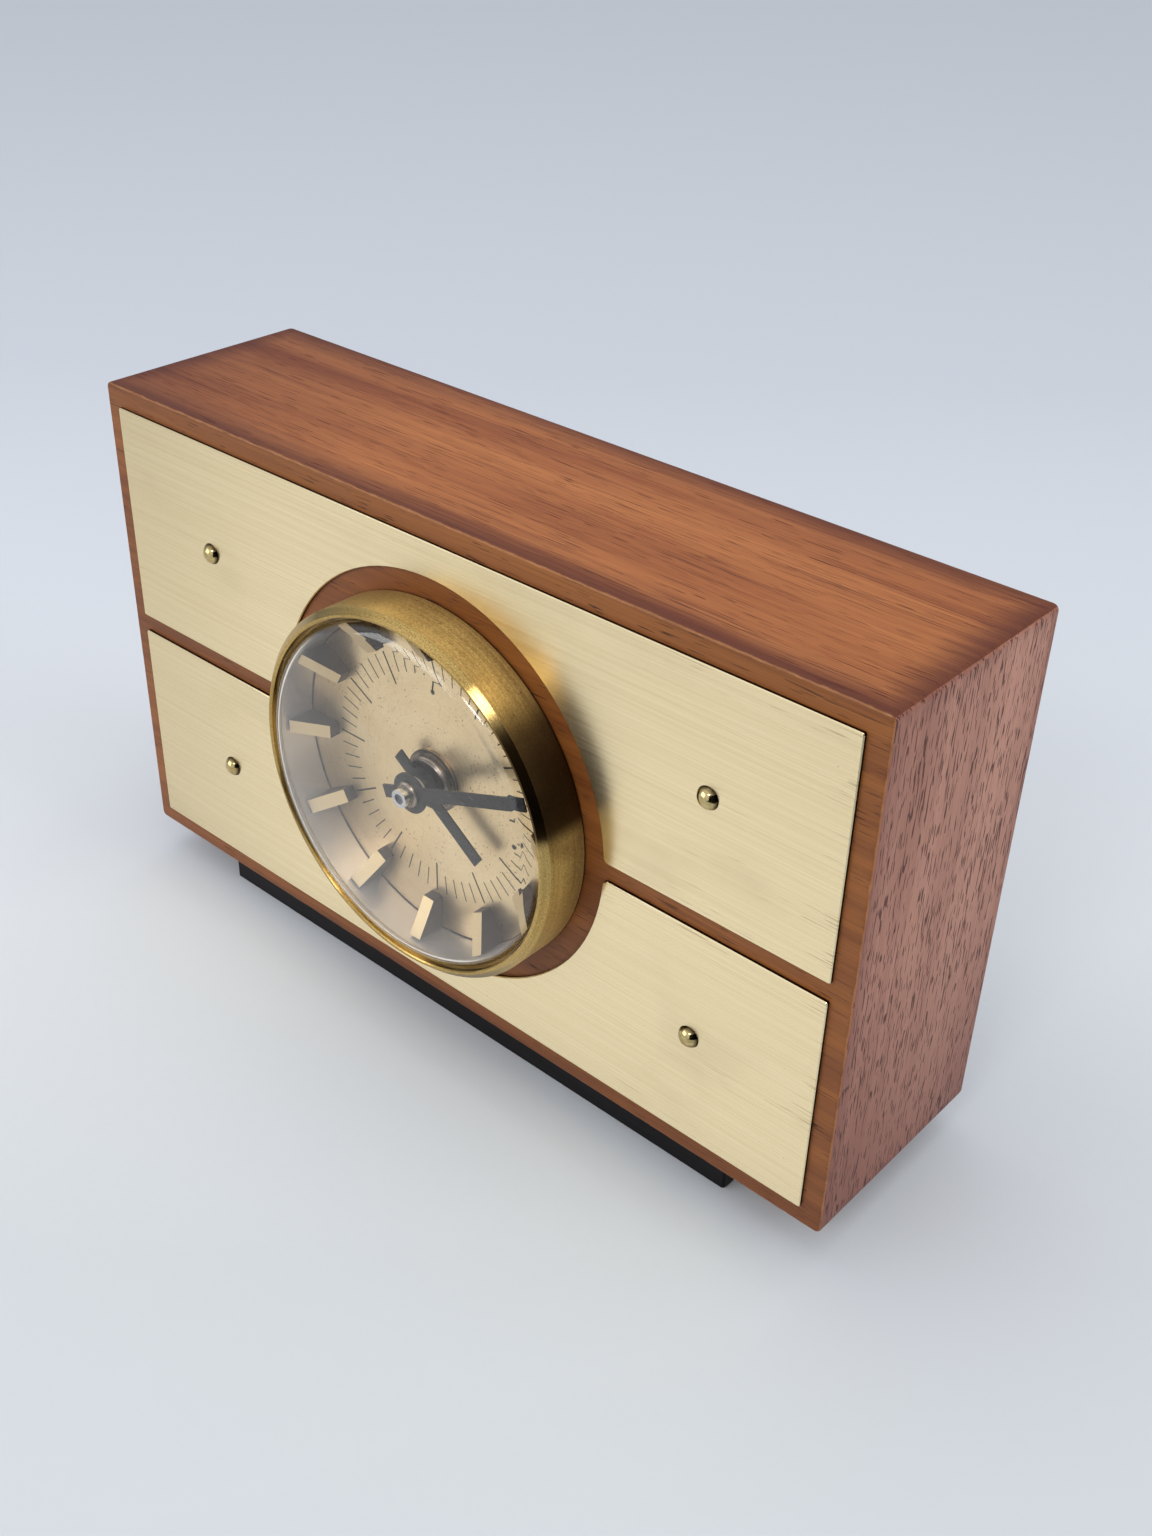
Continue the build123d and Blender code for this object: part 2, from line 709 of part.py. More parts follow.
# Hands: plain battens with a short tail and a round hub
hand_sizes = (
    ("hour_hand", hour_hand_stand, hour_hand_angle, hour_hand_length, hour_hand_tail,
     hour_hand_width, hour_hand_hub_radius, hour_pipe_radius),
    ("minute_hand", minute_hand_stand, minute_hand_angle, minute_hand_length, minute_hand_tail,
     minute_hand_width, minute_hand_hub_radius, minute_thread_radius),
)
for name, stand, angle, length, tail, width, hub, bore in hand_sizes:
    with BuildPart() as hand:
        with BuildSketch(face_plane(-stand, centre_place, -angle)):
            with Locations((0, (length - tail) / 2)):
                Rectangle(width, length + tail)
            Circle(hub)
            Circle(bore + press_clearance, mode=Mode.SUBTRACT)
        extrude(amount=hand_thickness)
    hand.part.label = name
    export_step(hand.part, f"parts/{name}.step")

# Collet behind the minute hand, then the washer and ring nut that hold it
with BuildPart() as minute_collet:
    with BuildSketch(face_plane(-minute_hand_stand + minute_collet_height)):
        Circle(minute_collet_radius)
    extrude(amount=minute_collet_height)
    chamfer(minute_collet.edges().sort_by(Axis.Y)[-1], minute_collet_chamfer)
    round_bar(
        centre_place, -minute_hand_stand + minute_collet_height + overrun, -minute_hand_stand - overrun,
        minute_arbor_radius + press_clearance, Mode.SUBTRACT,
    )
minute_collet.part.label = "minute_collet"
export_step(minute_collet.part, "parts/minute_collet.step")

with BuildPart() as hand_washer:
    with BuildSketch(face_plane(-hand_washer_stand)):
        Circle(hand_washer_radius)
    extrude(amount=hand_washer_thickness)
    chamfer(hand_washer.edges().sort_by(Axis.Y)[0], hand_washer_chamfer)
    round_bar(
        centre_place, -hand_washer_stand + overrun, -hand_nut_stand - overrun,
        minute_thread_radius + press_clearance, Mode.SUBTRACT,
    )
hand_washer.part.label = "hand_washer"
export_step(hand_washer.part, "parts/hand_washer.step")

with BuildPart() as hand_nut:
    with BuildSketch(face_plane(-hand_nut_stand)):
        Circle(hand_nut_radius)
        Circle(minute_thread_radius + press_clearance, mode=Mode.SUBTRACT)
    extrude(amount=hand_nut_height)
hand_nut.part.label = "hand_nut"
export_step(hand_nut.part, "parts/hand_nut.step")

# Movement housing: a moulded tray with the bush on its front, a partition, a battery bay
# that is open to the rear, a post for the motion wheel and pivot holes in its floor
with BuildPart() as movement_case:
    with BuildSketch(face_plane(cover_depth)):
        RectangleRounded(movement_width, movement_height, movement_corner)
    extrude(amount=movement_depth)
    with BuildSketch(face_plane(cover_depth)):
        with Locations((0, (partition_top + cavity_top) / 2)):
            Rectangle(cavity_width, cavity_top - partition_top)
        with Locations((0, battery_level)):
            Rectangle(cavity_width, bay_height)
    extrude(amount=movement_depth - movement_wall, mode=Mode.SUBTRACT)
    round_bar(centre_place, housing_front, -bush_stand, bush_radius)
    round_bar(motion_place, motion_wheel_rear + pinion_lap, floor_depth, motion_post_radius)
    round_bar(
        centre_place, floor_depth + overrun, -bush_stand - overrun, hour_pipe_radius + running_clearance,
        Mode.SUBTRACT,
    )
    for place in pivoted_places + [knob_place]:
        hole_front = floor_depth - pivot_length - pivot_end_play
        round_bar(place, floor_depth + overrun, hole_front, pivot_radius + running_clearance, Mode.SUBTRACT)
movement_case.part.label = "movement_case"
export_step(movement_case.part, "parts/movement_case.step")

# Cover over the wheels, with the rear pivot holes and the hole for the setting stem
with BuildPart() as movement_cover:
    cover_low = partition_top - partition_thickness
    with BuildSketch(face_plane(cover_depth + cover_thickness)):
        with Locations((0, (cover_low + half_height) / 2)):
            RectangleRounded(movement_width, half_height - cover_low, movement_corner)
    extrude(amount=cover_thickness)
    chamfer(movement_cover.faces().sort_by(Axis.Y)[-1].edges(), cover_chamfer)
    for place in pivoted_places:
        hole_rear = cover_depth + pivot_length + pivot_end_play
        round_bar(place, hole_rear, cover_depth - overrun, pivot_radius + running_clearance, Mode.SUBTRACT)
    round_bar(
        centre_place, cover_depth + pivot_length + pivot_end_play, cover_depth - overrun,
        minute_tail_radius + running_clearance, Mode.SUBTRACT,
    )
    round_bar(
        knob_place, cover_depth + cover_thickness + overrun, cover_depth - overrun,
        knob_stem_radius + running_clearance, Mode.SUBTRACT,
    )
movement_cover.part.label = "movement_cover"
export_step(movement_cover.part, "parts/movement_cover.step")

# Minute arbor: centre wheel, cannon pinion and the shaft that carries the minute hand
with BuildPart() as minute_arbor:
    with BuildSketch(face_plane(centre_rear)):
        add(toothed_disc(centre_teeth, train_module, centre_phase))
    extrude(amount=wheel_thickness)
    with BuildSketch(face_plane(centre_front)):
        add(toothed_disc(cannon_teeth, motion_module, cannon_phase))
    extrude(amount=centre_front - motion_wheel_front + pinion_lap)
    round_bar(centre_place, cover_depth - pivot_end_play + pivot_length, centre_rear, minute_tail_radius)
    round_bar(centre_place, centre_front, -minute_hand_stand, minute_arbor_radius)
    round_bar(centre_place, -minute_hand_stand, -hand_nut_top + hand_nut_recess, minute_thread_radius)
minute_arbor.part.label = "minute_arbor"
export_step(minute_arbor.part, "parts/minute_arbor.step")

# Motion wheel with its pinion, turning on the housing's post
with BuildPart() as motion_wheel:
    with BuildSketch(face_plane(motion_wheel_rear, motion_place)):
        add(toothed_disc(motion_wheel_teeth, motion_module, motion_wheel_phase))
    extrude(amount=wheel_thickness)
    with BuildSketch(face_plane(motion_wheel_front, motion_place)):
        add(toothed_disc(motion_pinion_teeth, hour_module, motion_pinion_phase))
    extrude(amount=motion_wheel_front - floor_depth - pivot_end_play)
    round_bar(
        motion_place, motion_wheel_rear + overrun, floor_depth - overrun,
        motion_post_radius + running_clearance, Mode.SUBTRACT,
    )
motion_wheel.part.label = "motion_wheel"
export_step(motion_wheel.part, "parts/motion_wheel.step")

# Hour wheel with the pipe that carries the hour hand
with BuildPart() as hour_wheel:
    with BuildSketch(face_plane(hour_wheel_rear)):
        add(toothed_disc(hour_wheel_teeth, hour_module, hour_phase))
    extrude(amount=wheel_thickness)
    round_bar(centre_place, hour_wheel_front, -hour_pipe_stand, hour_pipe_radius)
    round_bar(
        centre_place, hour_wheel_rear + overrun, -hour_pipe_stand - overrun,
        minute_arbor_radius + running_clearance, Mode.SUBTRACT,
    )
hour_wheel.part.label = "hour_wheel"
export_step(hour_wheel.part, "parts/hour_wheel.step")

# Setting knob on its stem, with the pinion that turns the motion wheel
with BuildPart() as setting_knob:
    with BuildSketch(face_plane(motion_wheel_rear, knob_place)):
        add(toothed_disc(knob_teeth, motion_module, knob_phase))
    extrude(amount=wheel_thickness)
    knob_front = cover_depth + cover_thickness + knob_gap
    round_bar(knob_place, knob_front, motion_wheel_front, knob_stem_radius)
    round_bar(knob_place, motion_wheel_front, floor_depth + pivot_end_play, pivot_radius + pinion_lap)
    round_bar(knob_place, floor_depth + pivot_end_play, floor_depth - pivot_length, pivot_radius)
    flute_module = knob_radius / (knob_flutes / 2 + addendum_share)
    with BuildSketch(face_plane(knob_front + knob_height, knob_place)):
        add(toothed_disc(knob_flutes, flute_module, knob_angle))
    extrude(amount=knob_height)
setting_knob.part.label = "setting_knob"
export_step(setting_knob.part, "parts/setting_knob.step")


def pivoted_arbor(place):
    # An arbor between the housing's floor and the cover, with a thin pivot at each end
    round_bar(place, cover_depth - pivot_end_play, floor_depth + pivot_end_play, arbor_radius)
    round_bar(place, cover_depth + pivot_length, floor_depth - pivot_length, pivot_radius)


# Third arbor with the pinion that drives the centre wheel; its wheel slips on it when the
# hands are set
with BuildPart() as third_pinion:
    with BuildSketch(face_plane(centre_rear + pinion_lap, third_place)):
        add(toothed_disc(third_pinion_teeth, train_module, third_pinion_phase))
    extrude(amount=wheel_thickness + 2 * pinion_lap)
    pivoted_arbor(third_place)
third_pinion.part.label = "third_pinion"
export_step(third_pinion.part, "parts/third_pinion.step")

with BuildPart() as third_wheel:
    with BuildSketch(face_plane(third_rear, third_place)):
        add(toothed_disc(third_wheel_teeth, train_module, third_wheel_phase))
    extrude(amount=train_wheel_thickness)
    round_bar(third_place, third_rear + pinion_lap, third_front - pinion_lap, hub_radius)
    round_bar(
        third_place, third_rear + overrun, third_front - overrun,
        arbor_radius + running_clearance, Mode.SUBTRACT,
    )
third_wheel.part.label = "third_wheel"
export_step(third_wheel.part, "parts/third_wheel.step")

# Second wheel, middle wheel and rotor, each with its pinion on a pivoted arbor
train = (
    ("second_wheel", second_place, second_wheel_teeth, second_wheel_phase, second_rear,
     second_pinion_teeth, second_pinion_phase, third_rear),
    ("middle_wheel", middle_place, middle_wheel_teeth, middle_wheel_phase, middle_rear,
     middle_pinion_teeth, middle_pinion_phase, second_rear),
)
for name, place, teeth, phase, rear, leaves, leaf_phase, leaf_rear in train:
    with BuildPart() as wheel:
        with BuildSketch(face_plane(rear, place)):
            add(toothed_disc(teeth, train_module, phase))
        extrude(amount=train_wheel_thickness)
        with BuildSketch(face_plane(leaf_rear + pinion_lap, place)):
            add(toothed_disc(leaves, train_module, leaf_phase))
        extrude(amount=train_wheel_thickness + 2 * pinion_lap)
        pivoted_arbor(place)
    wheel.part.label = name
    export_step(wheel.part, f"parts/{name}.step")

with BuildPart() as rotor:
    with BuildSketch(face_plane(middle_rear + pinion_lap, rotor_place)):
        add(toothed_disc(rotor_teeth, train_module, rotor_phase))
    extrude(amount=train_wheel_thickness + 2 * pinion_lap)
    magnet_rear = (stator_front + stator_rear + magnet_height) / 2
    round_bar(rotor_place, magnet_rear, magnet_rear - magnet_height, magnet_radius)
    pivoted_arbor(rotor_place)
rotor.part.label = "rotor"
export_step(rotor.part, "parts/rotor.step")

# Stator plate round the rotor, open on the side that the coil's core closes
with BuildPart() as stator:
    with BuildSketch(face_plane(stator_rear)):
        with Locations(stator_middle):
            Rectangle(stator_width, stator_height)
        window_width = stator_width - stator_bar_width + overrun
        with Locations((stator_right - stator_bar_width - window_width / 2, stator_middle[1])):
            Rectangle(window_width, coil_length, mode=Mode.SUBTRACT)
        with Locations(rotor_place):
            Circle(magnet_radius + magnet_gap, mode=Mode.SUBTRACT)
    extrude(amount=stator_thickness)
stator.part.label = "stator"
export_step(stator.part, "parts/stator.step")

# Coil: its winding and end flanges on a flat core that bridges the stator's arms
with BuildPart() as coil:
    coil_low = dial_height + stator_middle[1] - coil_length / 2
    coil_y = coil_depth - case_depth / 2
    with BuildSketch(Plane.XY.offset(coil_low)):
        with Locations((coil_x, coil_y)):
            Circle(coil_radius)
    extrude(amount=coil_length)
    for level in (coil_low, coil_low + coil_length - coil_flange_thickness):
        with BuildSketch(Plane.XY.offset(level)):
            with Locations((coil_x, coil_y)):
                Circle(coil_flange_radius)
        extrude(amount=coil_flange_thickness)
    with BuildSketch(Plane.XY.offset(coil_low - stator_arm_width)):
        with Locations((coil_x, coil_y)):
            Rectangle(core_width, core_thickness)
    extrude(amount=stator_height)
coil.part.label = "coil"
export_step(coil.part, "parts/coil.step")

# Circuit board on the housing's floor, with the quartz can and the driver chip on it
with BuildPart() as circuit_board:
    with BuildSketch(face_plane(floor_depth + circuit_thickness, circuit_middle)):
        Rectangle(circuit_width, circuit_height)
    extrude(amount=circuit_thickness)
circuit_board.part.label = "circuit_board"
export_step(circuit_board.part, "parts/circuit_board.step")

circuit_rear = floor_depth + circuit_thickness
with BuildPart() as quartz_can:
    can_place = (
        circuit_middle[0] - quartz_length / 2,
        circuit_rear + quartz_radius - case_depth / 2,
        dial_height + circuit_middle[1] + circuit_height / 2 - chip_margin - quartz_radius,
    )
    with BuildSketch(Plane.YZ.offset(can_place[0])):
        with Locations((can_place[1], can_place[2])):
            Circle(quartz_radius)
    extrude(amount=quartz_length)
quartz_can.part.label = "quartz_can"
export_step(quartz_can.part, "parts/quartz_can.step")

with BuildPart() as driver_chip:
    chip_level = circuit_middle[1] - circuit_height / 2 + chip_margin + chip_side / 2
    with BuildSketch(face_plane(circuit_rear + chip_height, (circuit_middle[0], chip_level))):
        Rectangle(chip_side, chip_side)
    extrude(amount=chip_height)
driver_chip.part.label = "driver_chip"
export_step(driver_chip.part, "parts/driver_chip.step")

# Battery lying in its bay, positive end to the right, with a contact at each end
bay_right = cavity_width / 2
battery_right = bay_right - contact_thickness - battery_nub_length
with BuildPart() as battery:
    bay_origin = (0, battery_depth - case_depth / 2, dial_height + battery_level)
    bay_plane = Plane(origin=bay_origin, x_dir=(0, 1, 0), z_dir=(1, 0, 0))
    with BuildSketch(bay_plane.offset(battery_right - battery_length)):
        Circle(battery_radius)
    extrude(amount=battery_length)
    chamfer(battery.edges().filter_by(GeomType.CIRCLE), battery_arris)
    with BuildSketch(bay_plane.offset(battery_right)):
        Circle(battery_nub_radius)
    extrude(amount=battery_nub_length)
battery.part.label = "battery"
export_step(battery.part, "parts/battery.step")

with BuildPart() as positive_contact:
    with BuildSketch(bay_plane.offset(bay_right - contact_thickness)):
        Rectangle(contact_width, contact_height)
    extrude(amount=contact_thickness)
positive_contact.part.label = "positive_contact"
export_step(positive_contact.part, "parts/positive_contact.step")

with BuildPart() as negative_contact:
    leaf_left = -bay_right
    bulge_rise = battery_right - battery_length - leaf_left - contact_thickness - fit_clearance
    with BuildSketch(bay_plane.offset(leaf_left)):
        Rectangle(contact_width, contact_height)
    extrude(amount=contact_thickness)
    with BuildSketch(bay_plane.offset(leaf_left + contact_thickness)):
        Circle(contact_bulge_radius)
    extrude(amount=bulge_rise, taper=45)
negative_contact.part.label = "negative_contact"
export_step(negative_contact.part, "parts/negative_contact.step")
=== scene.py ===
import math

import bpy
from mathutils import Matrix, Vector


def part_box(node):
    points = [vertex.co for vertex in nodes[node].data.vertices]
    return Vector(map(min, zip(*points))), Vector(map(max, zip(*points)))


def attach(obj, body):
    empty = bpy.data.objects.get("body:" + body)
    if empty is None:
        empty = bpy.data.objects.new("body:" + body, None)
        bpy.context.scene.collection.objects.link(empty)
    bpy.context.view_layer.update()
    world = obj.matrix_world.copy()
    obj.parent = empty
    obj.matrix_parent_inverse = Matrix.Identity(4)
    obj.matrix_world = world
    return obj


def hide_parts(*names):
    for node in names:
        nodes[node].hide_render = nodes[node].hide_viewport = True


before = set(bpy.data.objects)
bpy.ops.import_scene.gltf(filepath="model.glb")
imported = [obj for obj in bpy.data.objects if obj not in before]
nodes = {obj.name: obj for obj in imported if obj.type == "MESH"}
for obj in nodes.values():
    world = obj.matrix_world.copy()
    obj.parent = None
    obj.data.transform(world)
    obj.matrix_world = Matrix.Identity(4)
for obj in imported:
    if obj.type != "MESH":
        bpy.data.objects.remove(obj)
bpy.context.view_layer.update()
scene = bpy.context.scene
mm = 0.001

# Places read from the frame: the dial, the case's box, the plates, the bezel, the crystal and the cell
dialLow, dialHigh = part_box("dial")
dialCentre = (dialLow + dialHigh) / 2
dialFace = dialLow.y
caseLow = Vector((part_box("left_board")[0].x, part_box("front_board")[0].y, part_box("bottom_board")[0].z))
caseHigh = Vector((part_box("right_board")[1].x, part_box("right_board")[1].y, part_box("top_board")[1].z))
plateLow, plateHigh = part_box("upper_plate")
bezelLow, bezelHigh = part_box("bezel")
crystalLow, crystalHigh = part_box("crystal")
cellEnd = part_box("battery")[1].x


def linear(hexColour):
    # An sRGB colour as it is read off a picture, as the linear values that Blender mixes
    shares = [int(hexColour[k:k + 2], 16) / 255 for k in (0, 2, 4)]
    return [c / 12.92 if c <= 0.04045 else ((c + 0.055) / 1.055) ** 2.4 for c in shares] + [1.0]


def join(tree, node, settings):
    # A socket among the settings is linked, any other value is set on the input or on the node.
    # Keys in brackets take as many values at once.
    for key, value in settings.items():
        if isinstance(key, tuple):
            join(tree, node, dict(zip(key, value)))
        elif isinstance(value, bpy.types.NodeSocket):
            tree.links.new(value, node.inputs[key])
        elif isinstance(key, int) or key in node.inputs:
            node.inputs[key].default_value = value
        else:
            setattr(node, key, value)


def put(tree, kind, settings, out=0):
    # One more node in the tree; what comes back is one of its outputs
    node = tree.nodes.new("ShaderNode" + kind)
    join(tree, node, settings)
    return node.outputs[out]


def patterns(tree, point, table, seed, spacing=5.3):
    # Uneven patterns by name, each with its sizes in millimetres along X, Y and Z, its detail and its
    # roughness; the scale is how many of them fit in a metre
    made = {}
    for order, (name, (sizes, detail, rough)) in enumerate(table.items()):
        scale, shift = [1 / (size * mm) for size in sizes], [seed + spacing * order] * 3
        placed = put(tree, "Mapping", {"Vector": point, "Scale": scale, "Location": shift})
        settings = {"Vector": placed, "Scale": 1.0, "Detail": detail, "Roughness": rough}
        made[name] = put(tree, "TexNoise", settings)
    return made


def weighed(tree, base, *extras):
    # Patterns laid over a base one after the other, each with its share
    for pattern, share in extras:
        base = put(tree, "Math", {"operation": "MULTIPLY_ADD", 0: pattern, 1: share, 2: base})
    return base


def tint(tree, colour, pattern, mark):
    # A mark's colour laid softly over another where a pattern rises through the mark's span
    share = put(tree, "MapRange", {
        "interpolation_type": "SMOOTHSTEP", 0: pattern, (1, 2): mark["span"], 4: mark["strength"],
    })
    return put(tree, "MixRGB", {0: share, 1: colour, 2: linear(mark["colour"])})


def surface(tree, shader, finish, colour, shine, relief, more):
    # Most finishes end alike: one pattern makes the roughness uneven and another gives a shallow relief
    spread = finish["roughSpread"]
    join(tree, shader, {
        "Base Color": colour, **more,
        "Roughness": weighed(tree, finish["roughness"] - spread / 2, (shine, spread)),
        "Normal": put(tree, "Bump", {"Distance": finish["depth"] * mm, "Height": relief}),
    })


def newMaterial(name):
    made = bpy.data.materials.new(name)
    made.use_nodes = True
    tree = made.node_tree
    return made, tree, tree.nodes["Principled BSDF"], put(tree, "TexCoord", {}, "Object")


def cover(names, material):
    for name in names:
        nodes[name].data.materials.clear()
        nodes[name].data.materials.append(material)


def newMesh(name, points, faces, material):
    mesh = bpy.data.meshes.new(name)
    mesh.from_pydata(points, [], faces)
    mesh.materials.append(material)
    made = bpy.data.objects.new(name, mesh)
    scene.collection.objects.link(made)
    return made


def newPiece(name, points, faces, material, body):
    made = newMesh(name, points, faces, material)
    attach(made, body)
    return made


def stagePiece(name, points, faces, material, unseenBy):
    # A piece of the stage, which the named kinds of ray pass by
    made = newMesh(name, points, faces, material)
    for ray in unseenBy:
        setattr(made, "visible_" + ray, False)


def edgeReach(tree, point):
    # How far a point on the case's skin lies from the nearest edge and from the nearest corner
    middle = (caseLow + caseHigh) / 2
    away = put(tree, "VectorMath", {"operation": "SUBTRACT", 0: point, 1: list(middle)})
    away = put(tree, "VectorMath", {"operation": "ABSOLUTE", 0: away})
    inside = put(tree, "VectorMath", {"operation": "SUBTRACT", 0: list(caseHigh - middle), 1: away})
    x, y, z = put(tree, "SeparateXYZ", {0: inside}).node.outputs
    lower = put(tree, "Math", {"operation": "MINIMUM", 0: x, 1: y})
    upper = put(tree, "Math", {"operation": "MAXIMUM", 0: x, 1: y})
    third = put(tree, "Math", {"operation": "MINIMUM", 0: upper, 1: z})
    edge = put(tree, "Math", {"operation": "MAXIMUM", 0: lower, 1: third})
    corner = put(tree, "Math", {"operation": "MAXIMUM", 0: upper, 1: z})
    return edge, corner


def fromAxis(tree, point):
    # Radius from the dial's axis, angle round it and distance behind the dial's middle
    moved = put(tree, "VectorMath", {"operation": "SUBTRACT", 0: point, 1: list(dialCentre)})
    x, y, z = put(tree, "SeparateXYZ", {0: moved}).node.outputs
    flat = put(tree, "CombineXYZ", {0: x, 1: z})
    radius = put(tree, "VectorMath", {"operation": "LENGTH", 0: flat}, "Value")
    angle = put(tree, "Math", {"operation": "ARCTAN2", 0: x, 1: z})
    return radius, angle, y


def frontShare(tree, span):
    # How squarely a face looks to the front, from nothing at the first cosine to all at the second
    facing = put(tree, "TexCoord", {}, "Normal")
    cosine = put(tree, "VectorMath", {"operation": "DOT_PRODUCT", 0: facing, 1: [0.0, -1.0, 0.0]}, "Value")
    return put(tree, "MapRange", {0: cosine, (1, 2): span})


# Sliced mahogany veneer, stained and oiled. Bands of lighter and darker wood run with the grain, thin
# dark lines and open pores lie in it, and the oil leaves a satin sheen. "along" is the grain's axis, the
# sizes lie along and across the grain in millimetres, and "shade" is the stain's darker border.
veneers = {
    "front": {
        "name": "mahogany veneer sliced lengthwise, oiled, front", "along": 0, "seed": 3.1,
        "dark": "633415", "light": "8d5526", "bandSize": (190.0, 9.0), "roughness": 0.44, "specular": 0.3,
        "pore": "3a1c0c", "poreSize": (7.0, 0.3), "poreStart": 0.74, "poreDepth": 0.03,
        "line": {"colour": "4a2610", "span": (0.68, 0.78), "strength": 0.3},
        "shade": {"colour": "5f3217", "span": (5.0 * mm, 2.5 * mm), "strength": 0.3},
        "foot": 0.0, "end": 0.0, "nodes": ["front_board"],
    },
    "top": {
        "name": "mahogany veneer sliced lengthwise, oiled, top", "along": 0, "seed": 8.4,
        "dark": "854829", "light": "b47242", "bandSize": (190.0, 13.0), "roughness": 0.42, "specular": 0.22,
        "pore": "54281a", "poreSize": (10.0, 0.26), "poreStart": 0.70, "poreDepth": 0.02,
        "line": {"colour": "54281a", "span": (0.68, 0.78), "strength": 0.6},
        "shade": {"colour": "4f231c", "span": (16.0 * mm, 2.5 * mm), "strength": 0.85},
        "foot": 0.0, "end": 0.5, "nodes": ["top_board", "bottom_board"],
    },
    "side": {
        "name": "open-pored mahogany veneer set upright, oiled", "along": 2, "seed": 5.7,
        "dark": "8c5846", "light": "af7c67", "bandSize": (190.0, 16.0), "roughness": 0.44, "specular": 0.32,
        "pore": "46221a", "poreSize": (4.4, 0.44), "poreStart": 0.63, "poreDepth": 0.1,
        "line": {"colour": "6a3c2e", "span": (0.68, 0.78), "strength": 0.4},
        "shade": {"colour": "6d3b30", "span": (9.0 * mm, 2.5 * mm), "strength": 0.45},
        "foot": 0.65, "end": 0.0, "nodes": ["right_board", "left_board"],
    },
}
# What the three have in common
grain = {
    "waveSize": (140.0, 45.0), "push": 3.0, "ribbonSize": (95.0, 2.6), "fibreSize": (24.0, 0.36),
    "lineSize": (60.0, 0.42), "clusterSize": (34.0, 7.0), "chipSize": (4.0, 4.0), "ribbonShare": 0.45,
    "fibreShare": 0.5, "toneSpan": (0.72, 1.22), "clusterShare": 0.16, "ragged": 7.0, "poreRise": 0.035,
    "poreStrength": 0.85, "roughSpread": 0.14, "poreRoughness": 0.2, "fibreHeight": 0.16,
}
# Rubbed edges and bare chips; the chips gathered at the corners are also a painted highlight
wornEdge = {
    "rub": {"colour": "b98557", "span": (0.5 * mm, 0.9 * mm), "strength": 0.5}, "wobble": 0.8,
    "chip": {"colour": "dcb78c", "span": (0.26 * mm, 0.41 * mm), "strength": 0.8}, "cornerWidth": 5.0,
    "cornerReach": 0.3,
}


